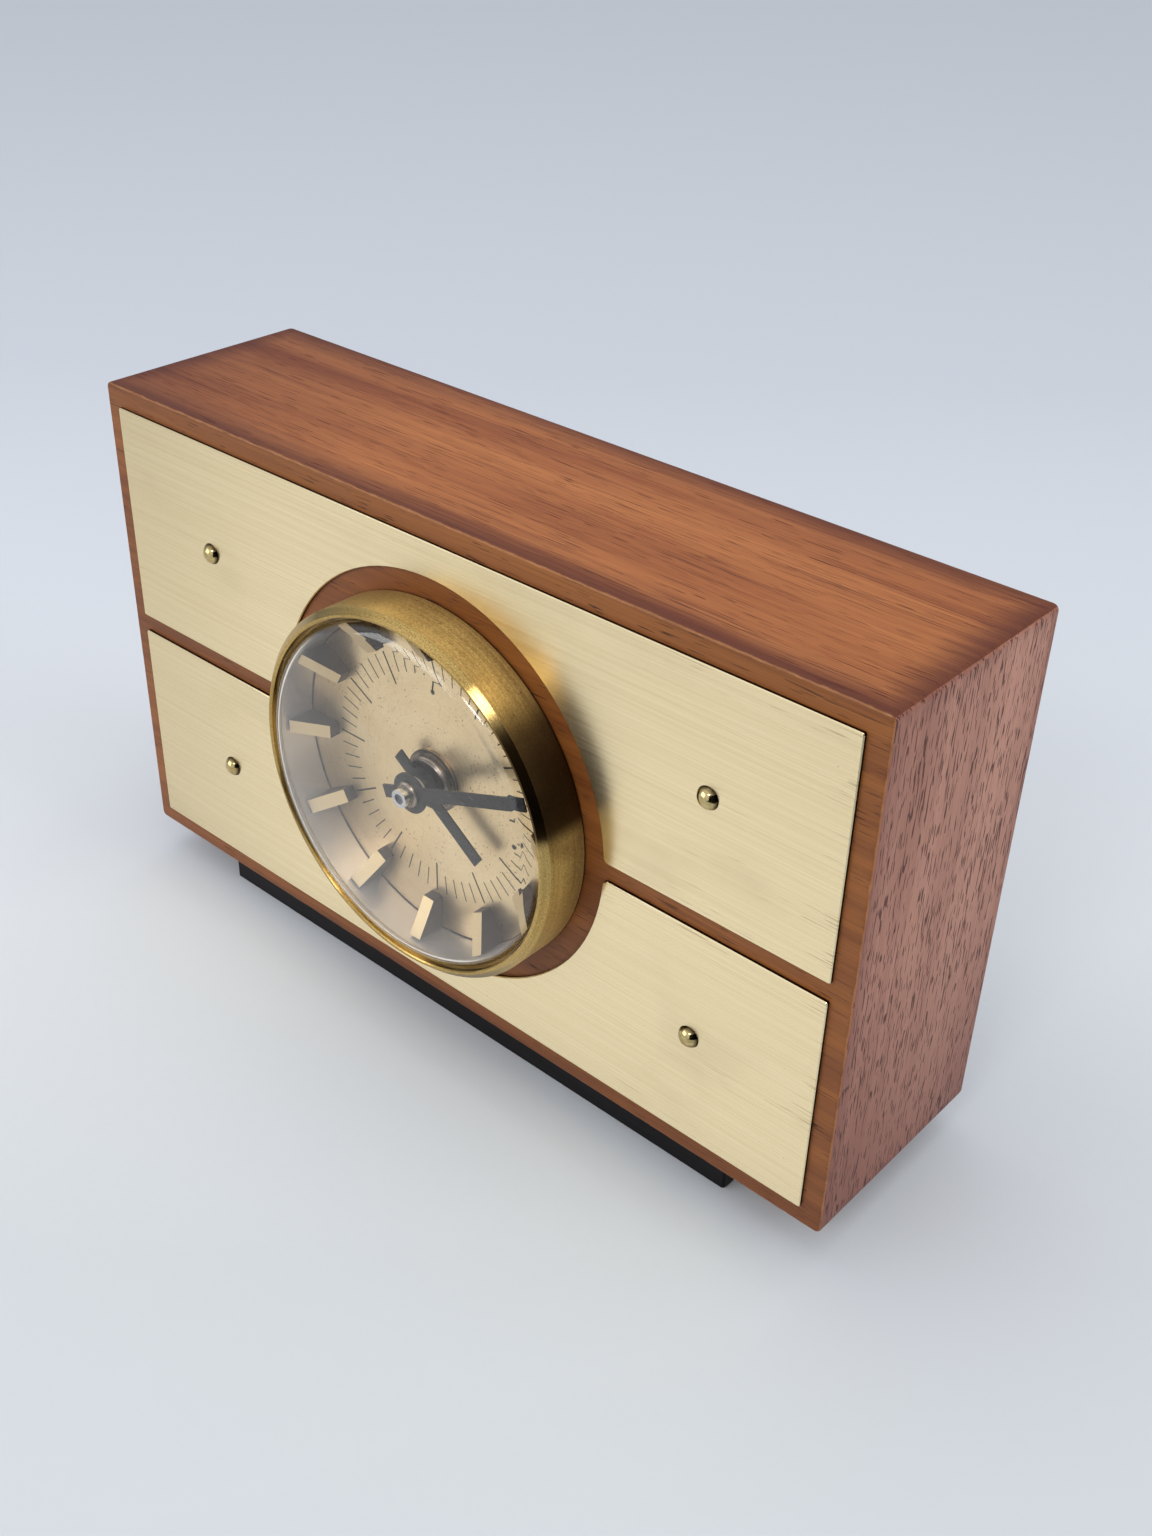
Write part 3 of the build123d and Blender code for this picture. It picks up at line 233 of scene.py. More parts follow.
def veneer(wood):
    made, tree, shader, point = newMaterial(wood["name"])

    def sizes(pair):
        three = [pair[1]] * 3
        three[wood["along"]] = pair[0]
        return three

    # The grain isn't dead straight: the point is first pushed about by a slow wave
    wave = patterns(tree, point, {"wave": (sizes(grain["waveSize"]), 1.0, 0.4)}, wood["seed"])["wave"]
    push = [grain["push"] * mm] * 3
    bent = put(tree, "VectorMath", {"operation": "MULTIPLY_ADD", 0: wave, 1: push, 2: point})
    found = patterns(tree, bent, {
        "band": (sizes(wood["bandSize"]), 2.0, 0.5),
        "ribbon": (sizes(grain["ribbonSize"]), 3.0, 0.6),
        "fibre": (sizes(grain["fibreSize"]), 2.0, 0.6),
        "line": (sizes(grain["lineSize"]), 1.0, 0.4),
        "pore": (sizes(wood["poreSize"]), 0.0, 0.4),
        "cluster": (sizes(grain["clusterSize"]), 2.0, 0.5),
        "chip": (sizes(grain["chipSize"]), 3.0, 0.65),
    }, wood["seed"])
    # Light and dark wood, from the broad bands, the ribbons in them and the fibres
    ribbon, fibre = (found["ribbon"], grain["ribbonShare"]), (found["fibre"], grain["fibreShare"])
    tone = weighed(tree, found["band"], ribbon, fibre)
    share = put(tree, "MapRange", {0: tone, (1, 2): grain["toneSpan"]})
    body = put(tree, "MixRGB", {0: share, 1: linear(wood["dark"]), 2: linear(wood["light"])})
    # Thin dark lines, long and fine, closer together where the clusters are
    line = weighed(tree, found["line"], (found["cluster"], grain["clusterShare"]))
    body = tint(tree, body, line, wood["line"])
    # The stain lies darker towards the edges, with a ragged border that follows the ribbons
    edge, corner = edgeReach(tree, point)
    ragged = weighed(tree, edge, (found["ribbon"], grain["ragged"] * mm))
    body = tint(tree, body, ragged, wood["shade"])
    # Painted shade darkens an upright board towards its foot; a level board is also darker towards its left
    # end
    x, y, z = put(tree, "SeparateXYZ", {0: point}).node.outputs
    darkerTowards = [(z, caseLow.z, dialCentre.z, wood["foot"]), (x, caseLow.x, caseLow.x / 3, wood["end"])]
    for place, start, stop, strength in darkerTowards:
        share = put(tree, "MapRange", {0: place, 1: start, 2: stop, 3: strength, 4: 0.0})
        body = put(tree, "MixRGB", {0: share, 1: body, 2: linear(wood["shade"]["colour"])})
    # Pores are the peaks of a stretched pattern, closer together where they cluster
    reach = grain["clusterShare"]
    limit = weighed(tree, wood["poreStart"] + reach / 2, (found["cluster"], -reach))
    depth = put(tree, "Math", {"operation": "SUBTRACT", 0: found["pore"], 1: limit})
    depth = put(tree, "MapRange", {
        "interpolation_type": "SMOOTHSTEP", 0: depth, 1: 0.0, 2: grain["poreRise"],
    })
    share = put(tree, "Math", {"operation": "MULTIPLY", 0: depth, 1: grain["poreStrength"]})
    body = put(tree, "MixRGB", {0: share, 1: body, 2: linear(wood["pore"])})
    # Edges are rubbed paler, with a few bare chips, most of them at the corners, where the pale chips are
    # also a painted highlight
    wobble = weighed(tree, edge, (found["chip"], wornEdge["wobble"] * mm))
    near = put(tree, "MapRange", {
        0: corner, 1: 0.0, 2: wornEdge["cornerWidth"] * mm, 3: -wornEdge["cornerReach"] * mm, 4: 0.0,
    })
    chip = put(tree, "Math", {"operation": "ADD", 0: wobble, 1: near})
    for place, wear in ((wobble, wornEdge["rub"]), (chip, wornEdge["chip"])):
        share = put(tree, "MapRange", {0: place, (1, 2): wear["span"], 3: wear["strength"], 4: 0.0})
        body = put(tree, "MixRGB", {0: share, 1: body, 2: linear(wear["colour"])})
    spread = grain["roughSpread"]
    dry = wood["roughness"] - spread / 2
    rough = weighed(tree, dry, (found["fibre"], spread), (depth, grain["poreRoughness"]))
    height = put(tree, "Math", {"operation": "MULTIPLY", 0: found["fibre"], 1: grain["fibreHeight"]})
    height = put(tree, "Math", {"operation": "SUBTRACT", 0: height, 1: depth})
    join(tree, shader, {
        "Base Color": body, "Roughness": rough, "Specular IOR Level": wood["specular"],
        "Normal": put(tree, "Bump", {"Distance": wood["poreDepth"] * mm, "Height": height}),
    })
    return made


for wood in veneers.values():
    cover(wood["nodes"], veneer(wood))
print("veneers laid")

# Brass sheet brushed lengthwise and lacquered: the scratches spread the light up and down, so the plates
# look pale and even, and the bezel shows in them as a soft band beside it. Real scratches are finer than
# a pixel, so they are drawn 0.2 mm wide.
plateBrass = {
    # The "side" colour is painted shade on the sheet's cut edges
    "light": "f7e7be", "dark": "efdcb1", "side": "33251a", "toneSpan": (0.5, 0.9), "hairShare": 0.5,
    "patterns": {
        "line": ((110.0, 3.0, 0.45), 3.0, 0.6), "hair": ((26.0, 3.0, 0.2), 2.0, 0.5),
        "cloud": ((55.0, 20.0, 34.0), 3.0, 0.55), "scrape": ((14.0, 3.0, 0.28), 1.0, 0.4),
        "patch": ((16.0, 10.0, 9.0), 2.0, 0.5), "speck": ((0.9, 0.9, 0.9), 1.0, 0.5),
    },
    "stain": {"colour": "b8a884", "span": (0.5, 0.74), "strength": 0.2},
    "dull": {"colour": "b8a884", "span": (plateLow.x / 3, plateLow.x), "strength": 0.32},
    "scrape": {"colour": "8f7d55", "span": (0.72, 0.80), "strength": 0.42},
    "speck": {"colour": "8f7d55", "span": (0.79, 0.84), "strength": 0.6},
    "borderWear": (0.0, 9.0 * mm, 0.06, -0.03), "rightWear": (0.0, plateHigh.x, -0.05, 0.05),
    "patchWear": (0.42, 0.62, -0.1, 0.03), "sideSpan": (0.3, 0.5),
    "roughness": 0.18, "roughSpread": 0.06, "depth": 0.0015,
}


def brushedPlate(brass):
    made, tree, shader, point = newMaterial("brass sheet brushed lengthwise, lacquered")
    brush = patterns(tree, point, brass["patterns"], seed=1.7)
    # Distance from the plate's border; the two plates mirror each other above and below the dial's axis
    moved = put(tree, "VectorMath", {"operation": "SUBTRACT", 0: point, 1: list(dialCentre)})
    across = put(tree, "SeparateXYZ", {0: moved})
    moved = put(tree, "VectorMath", {"operation": "ABSOLUTE", 0: moved})
    x, y, z = put(tree, "SeparateXYZ", {0: moved}).node.outputs
    fromEnd = put(tree, "Math", {"operation": "SUBTRACT", 0: plateHigh.x, 1: x})
    fromOuter = put(tree, "Math", {"operation": "SUBTRACT", 0: plateHigh.z - dialCentre.z, 1: z})
    fromInner = put(tree, "Math", {"operation": "SUBTRACT", 0: z, 1: plateLow.z - dialCentre.z})
    border = put(tree, "Math", {"operation": "MINIMUM", 0: fromOuter, 1: fromInner})
    border = put(tree, "Math", {"operation": "MINIMUM", 0: border, 1: fromEnd})
    stroke = weighed(tree, brush["line"], (brush["hair"], brass["hairShare"]))
    share = put(tree, "MapRange", {0: stroke, (1, 2): brass["toneSpan"]})
    colour = put(tree, "MixRGB", {0: share, 1: linear(brass["dark"]), 2: linear(brass["light"])})
    colour = tint(tree, colour, brush["cloud"], brass["stain"])
    # The "dull" mark makes the left end darker and greyer than the rest
    colour = tint(tree, colour, across, brass["dull"])
    # The lacquer is scraped through in thin dark lines, mostly near the border, to the right and in
    # patches: each kind of wear has the span of a place and what it adds at the two ends
    scrape = brush["scrape"]
    for place, wear in ((border, "borderWear"), (across, "rightWear"), (brush["patch"], "patchWear")):
        gain = put(tree, "MapRange", {0: place, (1, 2, 3, 4): brass[wear]})
        scrape = put(tree, "Math", {"operation": "ADD", 0: scrape, 1: gain})
    colour = tint(tree, colour, scrape, brass["scrape"])
    colour = tint(tree, colour, brush["speck"], brass["speck"])
    # Painted shade: faces that don't look to the front, the sheet's cut edges, are painted dark brown
    front = frontShare(tree, brass["sideSpan"])
    colour = put(tree, "MixRGB", {0: front, 1: linear(brass["side"]), 2: colour})
    # A quarter turn lays the spread across the brushing
    surface(tree, shader, brass, colour, brush["line"], stroke, {
        "Metallic": 1.0, "Anisotropic": 1.0, "Anisotropic Rotation": 0.25,
    })
    return made


cover(["upper_plate", "lower_plate"], brushedPlate(plateBrass))

# Brass ring turned on a lathe and aged: fine rings in its side, a polished lip, and a paler bore
bezelBrass = {
    # The "brown" colour is painted shade on the right flank
    "light": "d8b872", "dark": "a08350", "foot": "23180e", "bore": "d2cbc8", "brown": "46311f",
    "lip": "cdb070", "lipDark": "9c8048", "wipeShare": 0.5, "ringShare": 0.6, "toneSpan": (0.8, 1.3),
    "patterns": {
        "ring": ((0.5, 60.0, 0.5), 3.0, 0.6), "wipe": ((9.0, 22.0, 9.0), 2.0, 0.5),
        "sand": ((0.35, 0.5, 0.35), 2.0, 0.6), "spot": ((1.1, 1.1, 1.1), 2.0, 0.55),
    },
    "spot": {"colour": "5b4726", "span": (0.68, 0.78), "strength": 0.55},
    "lipDepth": 1.75, "lipBorder": 0.1, "boreWall": 3.9, "boreBorder": (0.3, 0.1), "boreMetal": 0.75,
    "flankShadeStart": (36.0, 50.0), "flankShadeEnd": (75.0, 81.0), "flankShadeStrength": 0.9, "footSpan": (-0.6, -0.4),
    "sideRoughness": 0.40, "sideSpread": 0.16, "lipRoughness": 0.17, "boreRoughness": 0.26, "depth": 0.004,
}


def turnedBezel(brass):
    made, tree, shader, point = newMaterial("brass ring turned on a lathe, aged")
    radius, angle, depth = fromAxis(tree, point)
    around = put(tree, "Math", {"operation": "MULTIPLY", 0: angle, 1: bezelHigh.x})
    unrolled = put(tree, "CombineXYZ", {0: radius, 1: around, 2: depth})
    lathe = patterns(tree, unrolled, brass["patterns"], seed=4.2)
    wipe, ring = (lathe["wipe"], brass["wipeShare"]), (lathe["ring"], brass["ringShare"])
    share = put(tree, "MapRange", {0: weighed(tree, lathe["sand"], wipe, ring), (1, 2): brass["toneSpan"]})
    colour = put(tree, "MixRGB", {0: share, 1: linear(brass["dark"]), 2: linear(brass["light"])})
    colour = tint(tree, colour, lathe["spot"], brass["spot"])
    # The lip begins where the chamfer does, the bore just inside the dial's edge
    lipStart = bezelLow.y - dialCentre.y + brass["lipDepth"] * mm
    lip = put(tree, "MapRange", {0: depth, 1: lipStart, 2: lipStart - brass["lipBorder"] * mm})
    boreRadius = bezelHigh.x - brass["boreWall"] * mm
    border = [boreRadius + reach * mm for reach in brass["boreBorder"]]
    bore = put(tree, "MapRange", {0: radius, (1, 2): border})
    worn = put(tree, "MixRGB", {0: share, 1: linear(brass["lipDark"]), 2: linear(brass["lip"])})
    colour = put(tree, "MixRGB", {0: lip, 1: colour, 2: worn})
    # Painted shade: the right flank is painted dark brown, with a soft upper border and a sharper lower one
    begin, full = [math.radians(turn) for turn in brass["flankShadeStart"]]
    brown = put(tree, "MapRange", {
        "interpolation_type": "SMOOTHSTEP", 0: angle, 1: begin, 2: full, 4: brass["flankShadeStrength"],
    })
    begin, full = [math.radians(turn) for turn in brass["flankShadeEnd"]]
    ends = put(tree, "MapRange", {
        "interpolation_type": "SMOOTHSTEP", 0: angle, 1: begin, 2: full, 3: 1.0, 4: 0.0,
    })
    brown = put(tree, "Math", {"operation": "MULTIPLY", 0: brown, 1: ends})
    colour = put(tree, "MixRGB", {0: brown, 1: colour, 2: linear(brass["brown"])})
    colour = put(tree, "MixRGB", {0: bore, 1: colour, 2: linear(brass["bore"])})
    # Painted shade darkens the narrow groove at the ring's foot
    foot = put(tree, "MapRange", {0: depth, (1, 2): [reach * mm for reach in brass["footSpan"]]})
    colour = put(tree, "MixRGB", {0: foot, 1: colour, 2: linear(brass["foot"])})
    spread = brass["sideSpread"]
    rough = weighed(tree, brass["sideRoughness"] - spread / 2, (lathe["ring"], spread))
    rough = put(tree, "MixRGB", {0: lip, 1: rough, 2: [brass["lipRoughness"]] * 3 + [1.0]})
    rough = put(tree, "MixRGB", {0: bore, 1: rough, 2: [brass["boreRoughness"]] * 3 + [1.0]})
    # The bore is plated pale and has gone milky
    metal = put(tree, "MapRange", {0: bore, 3: 1.0, 4: brass["boreMetal"]})
    # A quarter turn from round the axis lays the spread across the rings
    tangent = put(tree, "Tangent", {"direction_type": "RADIAL", "axis": "Y"})
    join(tree, shader, {
        "Base Color": colour, "Metallic": metal, "Roughness": rough, "Anisotropic": 0.9, "Tangent": tangent,
        "Anisotropic Rotation": 0.25,
        "Normal": put(tree, "Bump", {"Distance": brass["depth"] * mm, "Height": lathe["ring"]}),
    })
    return made


cover(["bezel"], turnedBezel(bezelBrass))

# Dial sheet spun with faint rings, gilt and lacquered, freckled where the lacquer has aged
dialGilt = {
    "light": "f8e4bc", "dark": "e3ca9d", "ringShare": 0.5, "sandShare": 0.4, "toneSpan": (0.65, 1.25),
    "spun": {"ring": ((0.7, 30.0, 1.0), 3.0, 0.6)},
    "aged": {
        "cloud": ((17.0, 17.0, 17.0), 3.0, 0.6), "freckle": ((0.75, 0.75, 0.75), 2.0, 0.6),
        "patch": ((11.0, 11.0, 11.0), 2.0, 0.5), "scratch": ((0.35, 4.0, 5.0), 1.0, 0.4),
        "sand": ((0.45, 0.45, 0.45), 1.0, 0.5),
    },
    "freckle": {"colour": "7d6038", "span": (0.69, 0.77), "strength": 0.7},
    "scratch": {"colour": "b79a70", "span": (0.7, 0.8), "strength": 0.3},
    "patchSpan": (0.4, 0.65), "patchGain": 0.06, "cornerWay": (0.7, 0.0, 0.7),
    "cornerSpan": (-20.0 * mm, 30.0 * mm), "cornerGain": 0.04,
    "rivet": "3b3433", "rivets": [(0.0, 25.3), (27.3, -7.3)], "rivetSpan": (0.9 * mm, 0.54 * mm),
    "roughness": 0.33, "roughSpread": 0.14, "depth": 0.004,
}


def gildedDial(gilt):
    made, tree, shader, point = newMaterial("dial sheet spun with fine rings, gilt and lacquered")
    radius, angle, depth = fromAxis(tree, point)
    around = put(tree, "Math", {"operation": "MULTIPLY", 0: angle, 1: dialHigh.x / 2})
    unrolled = put(tree, "CombineXYZ", {0: radius, 1: around, 2: depth})
    ring = patterns(tree, unrolled, gilt["spun"], seed=2.4)["ring"]
    aged = patterns(tree, point, gilt["aged"], seed=6.1)
    share = weighed(tree, aged["cloud"], (ring, gilt["ringShare"]), (aged["sand"], gilt["sandShare"]))
    share = put(tree, "MapRange", {0: share, (1, 2): gilt["toneSpan"]})
    colour = put(tree, "MixRGB", {0: share, 1: linear(gilt["dark"]), 2: linear(gilt["light"])})
    # Freckles gather in patches and grow thicker towards the upper right of the dial
    moved = put(tree, "VectorMath", {"operation": "SUBTRACT", 0: point, 1: list(dialCentre)})
    corner = put(tree, "VectorMath", {"operation": "DOT_PRODUCT", 0: moved, 1: gilt["cornerWay"]}, "Value")
    corner = put(tree, "MapRange", {0: corner, (1, 2): gilt["cornerSpan"]})
    patch = put(tree, "MapRange", {0: aged["patch"], (1, 2): gilt["patchSpan"]})
    freckle = weighed(tree, aged["freckle"], (patch, gilt["patchGain"]), (corner, gilt["cornerGain"]))
    colour = tint(tree, colour, freckle, gilt["freckle"])
    colour = tint(tree, colour, aged["scratch"], gilt["scratch"])
    # The dial's two feet are riveted through it and show as dark dots
    for x, z in gilt["rivets"]:
        spot = [x * mm, 0.0, z * mm]
        away = put(tree, "VectorMath", {"operation": "DISTANCE", 0: moved, 1: spot}, "Value")
        dot = put(tree, "MapRange", {0: away, (1, 2): gilt["rivetSpan"]})
        colour = put(tree, "MixRGB", {0: dot, 1: colour, 2: linear(gilt["rivet"])})
    tangent = put(tree, "Tangent", {"direction_type": "RADIAL", "axis": "Y"})
    surface(tree, shader, gilt, colour, ring, ring, {
        "Metallic": 1.0, "Anisotropic": 0.25, "Tangent": tangent, "Anisotropic Rotation": 0.25,
    })
    return made


cover(["dial"], gildedDial(dialGilt))

# Hour markers milled from brass bar: gilt on the face, with painted shade on the dark sides, which the dial
# shows
markerBrass = {
    "face": "e4d0a8", "faceDark": "cdb68c", "side": "3d3433", "faceSpan": (0.45, 0.55),
    "patterns": {"mill": ((0.5, 6.0, 0.5), 2.0, 0.6), "dust": ((0.5, 0.5, 0.5), 2.0, 0.6)},
    "dust": {"colour": "5d4f4d", "span": (0.45, 0.75), "strength": 1.0},
    "roughness": 0.46, "roughSpread": 0.16, "depth": 0.004,
}


def milledMarkers(brass):
    made, tree, shader, point = newMaterial("hour markers milled from brass bar, gilt faces")
    cut = patterns(tree, point, brass["patterns"], seed=9.2)
    front = frontShare(tree, brass["faceSpan"])
    face = put(tree, "MixRGB", {0: cut["mill"], 1: linear(brass["faceDark"]), 2: linear(brass["face"])})
    # The sides' dark colour is painted shade, with real dust on it
    side = tint(tree, linear(brass["side"]), cut["dust"], brass["dust"])
    colour = put(tree, "MixRGB", {0: front, 1: side, 2: face})
    surface(tree, shader, brass, colour, cut["mill"], cut["mill"], {"Metallic": 1.0})
    return made


cover(["hour_markers"], milledMarkers(markerBrass))
print("front metal brushed, turned and gilt")

# Small metal pieces: each has its own two tones in soft clouds, and fine scratches as wide as "grain",
# which break up its shine; "rim" is painted shade round the steep foot of a domed head
smallMetals = {
    "pin": {"name": "brass pins, domed and polished", "light": "d6c391", "dark": "a8935f", "roughness": 0.10,
            "grain": 0.35, "rim": "3d2f1c", "nodes": ["plate_pins"]},
    "pipe": {"name": "brass pipe and wheel, dulled", "light": "b79d79", "dark": "715a41", "roughness": 0.22,
             "grain": 0.25, "nodes": ["hour_wheel"]},
    "silver": {"name": "plated steel, bright", "light": "e4e6ea", "dark": "b4b8c0", "roughness": 0.16,
               "grain": 0.25, "nodes": ["hand_nut", "quartz_can", "positive_contact", "negative_contact"]},
    "zinc": {"name": "screws plated with zinc", "light": "c4c4be", "dark": "8f8f88", "roughness": 0.34,
             "grain": 0.3, "nodes": ["back_screws", "plinth_screws", "bezel_screws"]},
    "steel": {"name": "arbors turned from blue-grey steel", "light": "7f8794", "dark": "4a5262",
              "roughness": 0.24, "grain": 0.25, "nodes": ["minute_arbor", "third_pinion"]},
    "stamped": {"name": "soft iron stamped flat", "light": "9a9c9f", "dark": "6e7073", "roughness": 0.4,
                "grain": 0.6, "nodes": ["stator"]},
    "copper": {"name": "enamelled copper wire, close wound", "light": "b4683c", "dark": "7a4022",
               "roughness": 0.3, "grain": 0.2, "nodes": ["coil"]},
}
# What they have in common: a cloud is so many grains wide and a scratch so many long
smallGrain = {"cloud": 12, "scratch": 18, "toneSpan": (0.72, 1.28), "rimSpan": (0.72, 0.5),
              "roughSpread": 0.14, "depth": 0.003}


def smallMetal(metal):
    made, tree, shader, point = newMaterial(metal["name"])
    fine = metal["grain"]
    worn = patterns(tree, point, {
        "cloud": ([fine * metal["cloud"]] * 3, 3.0, 0.6),
        "scratch": ((fine * metal["scratch"], fine, fine), 2.0, 0.6),
    }, seed=2.6)
    share = put(tree, "Math", {"operation": "ADD", 0: worn["scratch"], 1: worn["cloud"]})
    share = put(tree, "MapRange", {0: share, (1, 2): metal["toneSpan"]})
    colour = put(tree, "MixRGB", {0: share, 1: linear(metal["dark"]), 2: linear(metal["light"])})
    if "rim" in metal:
        # Painted shade lies round the steep foot of a dome
        steep = frontShare(tree, metal["rimSpan"])
        colour = put(tree, "MixRGB", {0: steep, 1: colour, 2: linear(metal["rim"])})
    surface(tree, shader, metal, colour, worn["scratch"], worn["scratch"], {"Metallic": 1.0})
    return made


for metal in smallMetals.values():
    cover(metal["nodes"], smallMetal({**smallGrain, **metal}))

# Small pieces turned on a lathe, so that fine rings run round them: one colour on the face and another
# outside the face's radius, where a chamfer or a rim was cut
turnedPieces = {
    # The nut's face is dark and its chamfer pale
    "fixing_nut": {"name": "brass nut turned, dark on its face", "face": "26221f",
                   "faceLight": "4a423a", "edge": "98908a", "edgeDark": "4d4540", "faceRadius": 6.55,
                   "roughness": 0.26},
    "fixing_washer": {"name": "brass washer turned and dulled", "face": "6f6459", "faceLight": "a0917f",
                      "edge": "85786a", "edgeDark": "3f3730", "faceRadius": 7.6, "roughness": 0.28},
    "hand_washer": {"name": "washer turned in browned bronze", "face": "6a5c50", "faceLight": "8a7a68",
                    "edge": "b5a99c", "edgeDark": "5f564e", "faceRadius": 2.9, "roughness": 0.24},
}
# Rings so wide in millimetres, each of which changes so many times in a radian
turnedRings = {"width": 0.6, "changes": 0.8, "toneSpan": (0.35, 0.65), "border": 0.05, "roughSpread": 0.2,
               "depth": 0.02}


def turnedPiece(finish):
    made, tree, shader, point = newMaterial(finish["name"])
    radius, angle, depth = fromAxis(tree, point)
    unrolled = put(tree, "CombineXYZ", {0: radius, 1: angle, 2: depth})
    fine = 1 / (finish["width"] * mm)
    placed = put(tree, "Mapping", {"Vector": unrolled, "Scale": [fine, finish["changes"], fine]})
    ring = put(tree, "TexNoise", {"Vector": placed, "Scale": 1.0, "Detail": 2.0, "Roughness": 0.6})
    share = put(tree, "MapRange", {0: ring, (1, 2): finish["toneSpan"]})
    face = put(tree, "MixRGB", {0: share, 1: linear(finish["face"]), 2: linear(finish["faceLight"])})
    edge = put(tree, "MixRGB", {0: share, 1: linear(finish["edgeDark"]), 2: linear(finish["edge"])})
    cut, border = finish["faceRadius"] * mm, finish["border"] * mm
    bare = put(tree, "MapRange", {0: radius, 1: cut - border, 2: cut + border})
    colour = put(tree, "MixRGB", {0: bare, 1: face, 2: edge})
    surface(tree, shader, finish, colour, ring, ring, {"Metallic": 1.0})
    return made


for name, finish in turnedPieces.items():
    cover([name], turnedPiece({**turnedRings, **finish}))

# Painted, moulded and pressed pieces: two close tones in soft clouds, and a fine tooth that dulls them
plainCoats = {
    "plinth": {"name": "plinth of wood under black lacquer", "light": "151214", "dark": "0b0a0b",
               "roughness": 0.36, "specular": 0.12, "grain": (9.0, 0.8, 0.8), "depth": 0.03,
               "nodes": ["plinth"]},
    "hardboard": {"name": "hardboard pressed from brown fibre", "light": "7d5a3c", "dark": "553820",
                  "roughness": 0.62, "specular": 0.3, "grain": (0.9, 0.9, 0.9), "depth": 0.05,
                  "nodes": ["back_panel"]},
    "softwood": {"name": "glue blocks sawn from softwood", "light": "c09a68", "dark": "94703f",
                 "roughness": 0.7, "specular": 0.3, "grain": (1.2, 14.0, 1.2), "depth": 0.08,
                 "nodes": ["corner_blocks"]},
    "housing": {"name": "movement housing moulded in black plastic", "light": "292b2e", "dark": "18191b",
                "roughness": 0.45, "specular": 0.5, "grain": (0.4, 0.4, 0.4), "depth": 0.015,
                "nodes": ["movement_case", "movement_cover"]},
    "knob": {"name": "knob moulded in grey plastic, fluted", "light": "3a3c40", "dark": "242528",
             "roughness": 0.4, "specular": 0.5, "grain": (0.4, 0.4, 0.4), "depth": 0.012,
             "nodes": ["setting_knob"]},
    "wheel": {"name": "wheels moulded in cream acetal", "light": "ece6d6", "dark": "d6cdb8",
              "roughness": 0.4, "specular": 0.5, "grain": (0.4, 0.4, 0.4), "depth": 0.006,
              "nodes": ["rotor", "middle_wheel", "second_wheel", "third_wheel", "motion_wheel"]},
    "collar": {"name": "collar moulded in pale grey nylon", "light": "c9ccd1", "dark": "a4a7ad",
               "roughness": 0.35, "specular": 0.5, "grain": (0.4, 0.4, 0.4), "depth": 0.006,
               "nodes": ["minute_collet"]},
    "circuit": {"name": "circuit board under green resist", "light": "3c6f48", "dark": "264a30",
                "roughness": 0.4, "specular": 0.5, "grain": (0.8, 0.8, 0.8), "depth": 0.01,
                "nodes": ["circuit_board"]},
    "chip": {"name": "chip moulded in black epoxy", "light": "232426", "dark": "151617",
             "roughness": 0.5, "specular": 0.4, "grain": (0.3, 0.3, 0.3), "depth": 0.008,
             "nodes": ["driver_chip"]},
    "print": {"name": "minute marks printed in dark ink", "light": "352c23", "dark": "1c1712",
              "roughness": 0.5, "specular": 0.3, "grain": (0.4, 0.4, 0.4), "depth": 0.003, "nodes": []},
}
coatGrain = {"cloud": 18, "toneSpan": (0.72, 1.28), "roughSpread": 0.16}


def plainCoat(kind):
    coat = {**coatGrain, **plainCoats[kind]}
    made, tree, shader, point = newMaterial(coat["name"])
    coating = patterns(tree, point, {
        "cloud": ([size * coat["cloud"] for size in coat["grain"]], 3.0, 0.6),
        "tooth": (coat["grain"], 2.0, 0.6),
    }, seed=7.4)
    share = put(tree, "Math", {"operation": "ADD", 0: coating["tooth"], 1: coating["cloud"]})
    share = put(tree, "MapRange", {0: share, (1, 2): coat["toneSpan"]})
    colour = put(tree, "MixRGB", {0: share, 1: linear(coat["dark"]), 2: linear(coat["light"])})
    more = {"Specular IOR Level": coat["specular"]}
    surface(tree, shader, coat, colour, coating["cloud"], coating["tooth"], more)
    return made


for kind, coat in plainCoats.items():
    cover(coat["nodes"], plainCoat(kind))

# Hands stamped from steel under blue-black enamel: satin, with pale hairline scratches
handEnamel = {
    "light": "24262c", "dark": "131418",
    "patterns": {
        "cloud": ((5.0, 5.0, 5.0), 3.0, 0.6), "scratch": ((2.6, 3.0, 0.22), 1.0, 0.4),
        "tooth": ((0.3, 0.3, 0.3), 1.0, 0.5),
    },
    "scratch": {"colour": "8f949c", "span": (0.7, 0.78), "strength": 0.6},
    "roughness": 0.5, "roughSpread": 0.16, "specular": 0.3, "depth": 0.006,
}


def enamelledHand(enamel):
    made, tree, shader, point = newMaterial("hands stamped from steel, blue-black enamel")
    worn = patterns(tree, point, enamel["patterns"], seed=4.9)
    colour = put(tree, "MixRGB", {0: worn["cloud"], 1: linear(enamel["dark"]), 2: linear(enamel["light"])})
    colour = tint(tree, colour, worn["scratch"], enamel["scratch"])
    more = {"Specular IOR Level": enamel["specular"]}
    surface(tree, shader, enamel, colour, worn["cloud"], worn["tooth"], more)
    return made


cover(["hour_hand", "minute_hand"], enamelledHand(handEnamel))

# The cell's sleeve is a plain red film, glossy and creased, with a bare steel cap at its positive end
sleeve = {"body": "8a2f2a", "worn": "6f2521", "cap": "c9c9c4", "capLength": 2.2, "capBorder": 0.1,
          "wearSize": (6.0, 2.0, 2.0), "roughness": 0.3, "roughSpread": 0.2, "depth": 0.01}


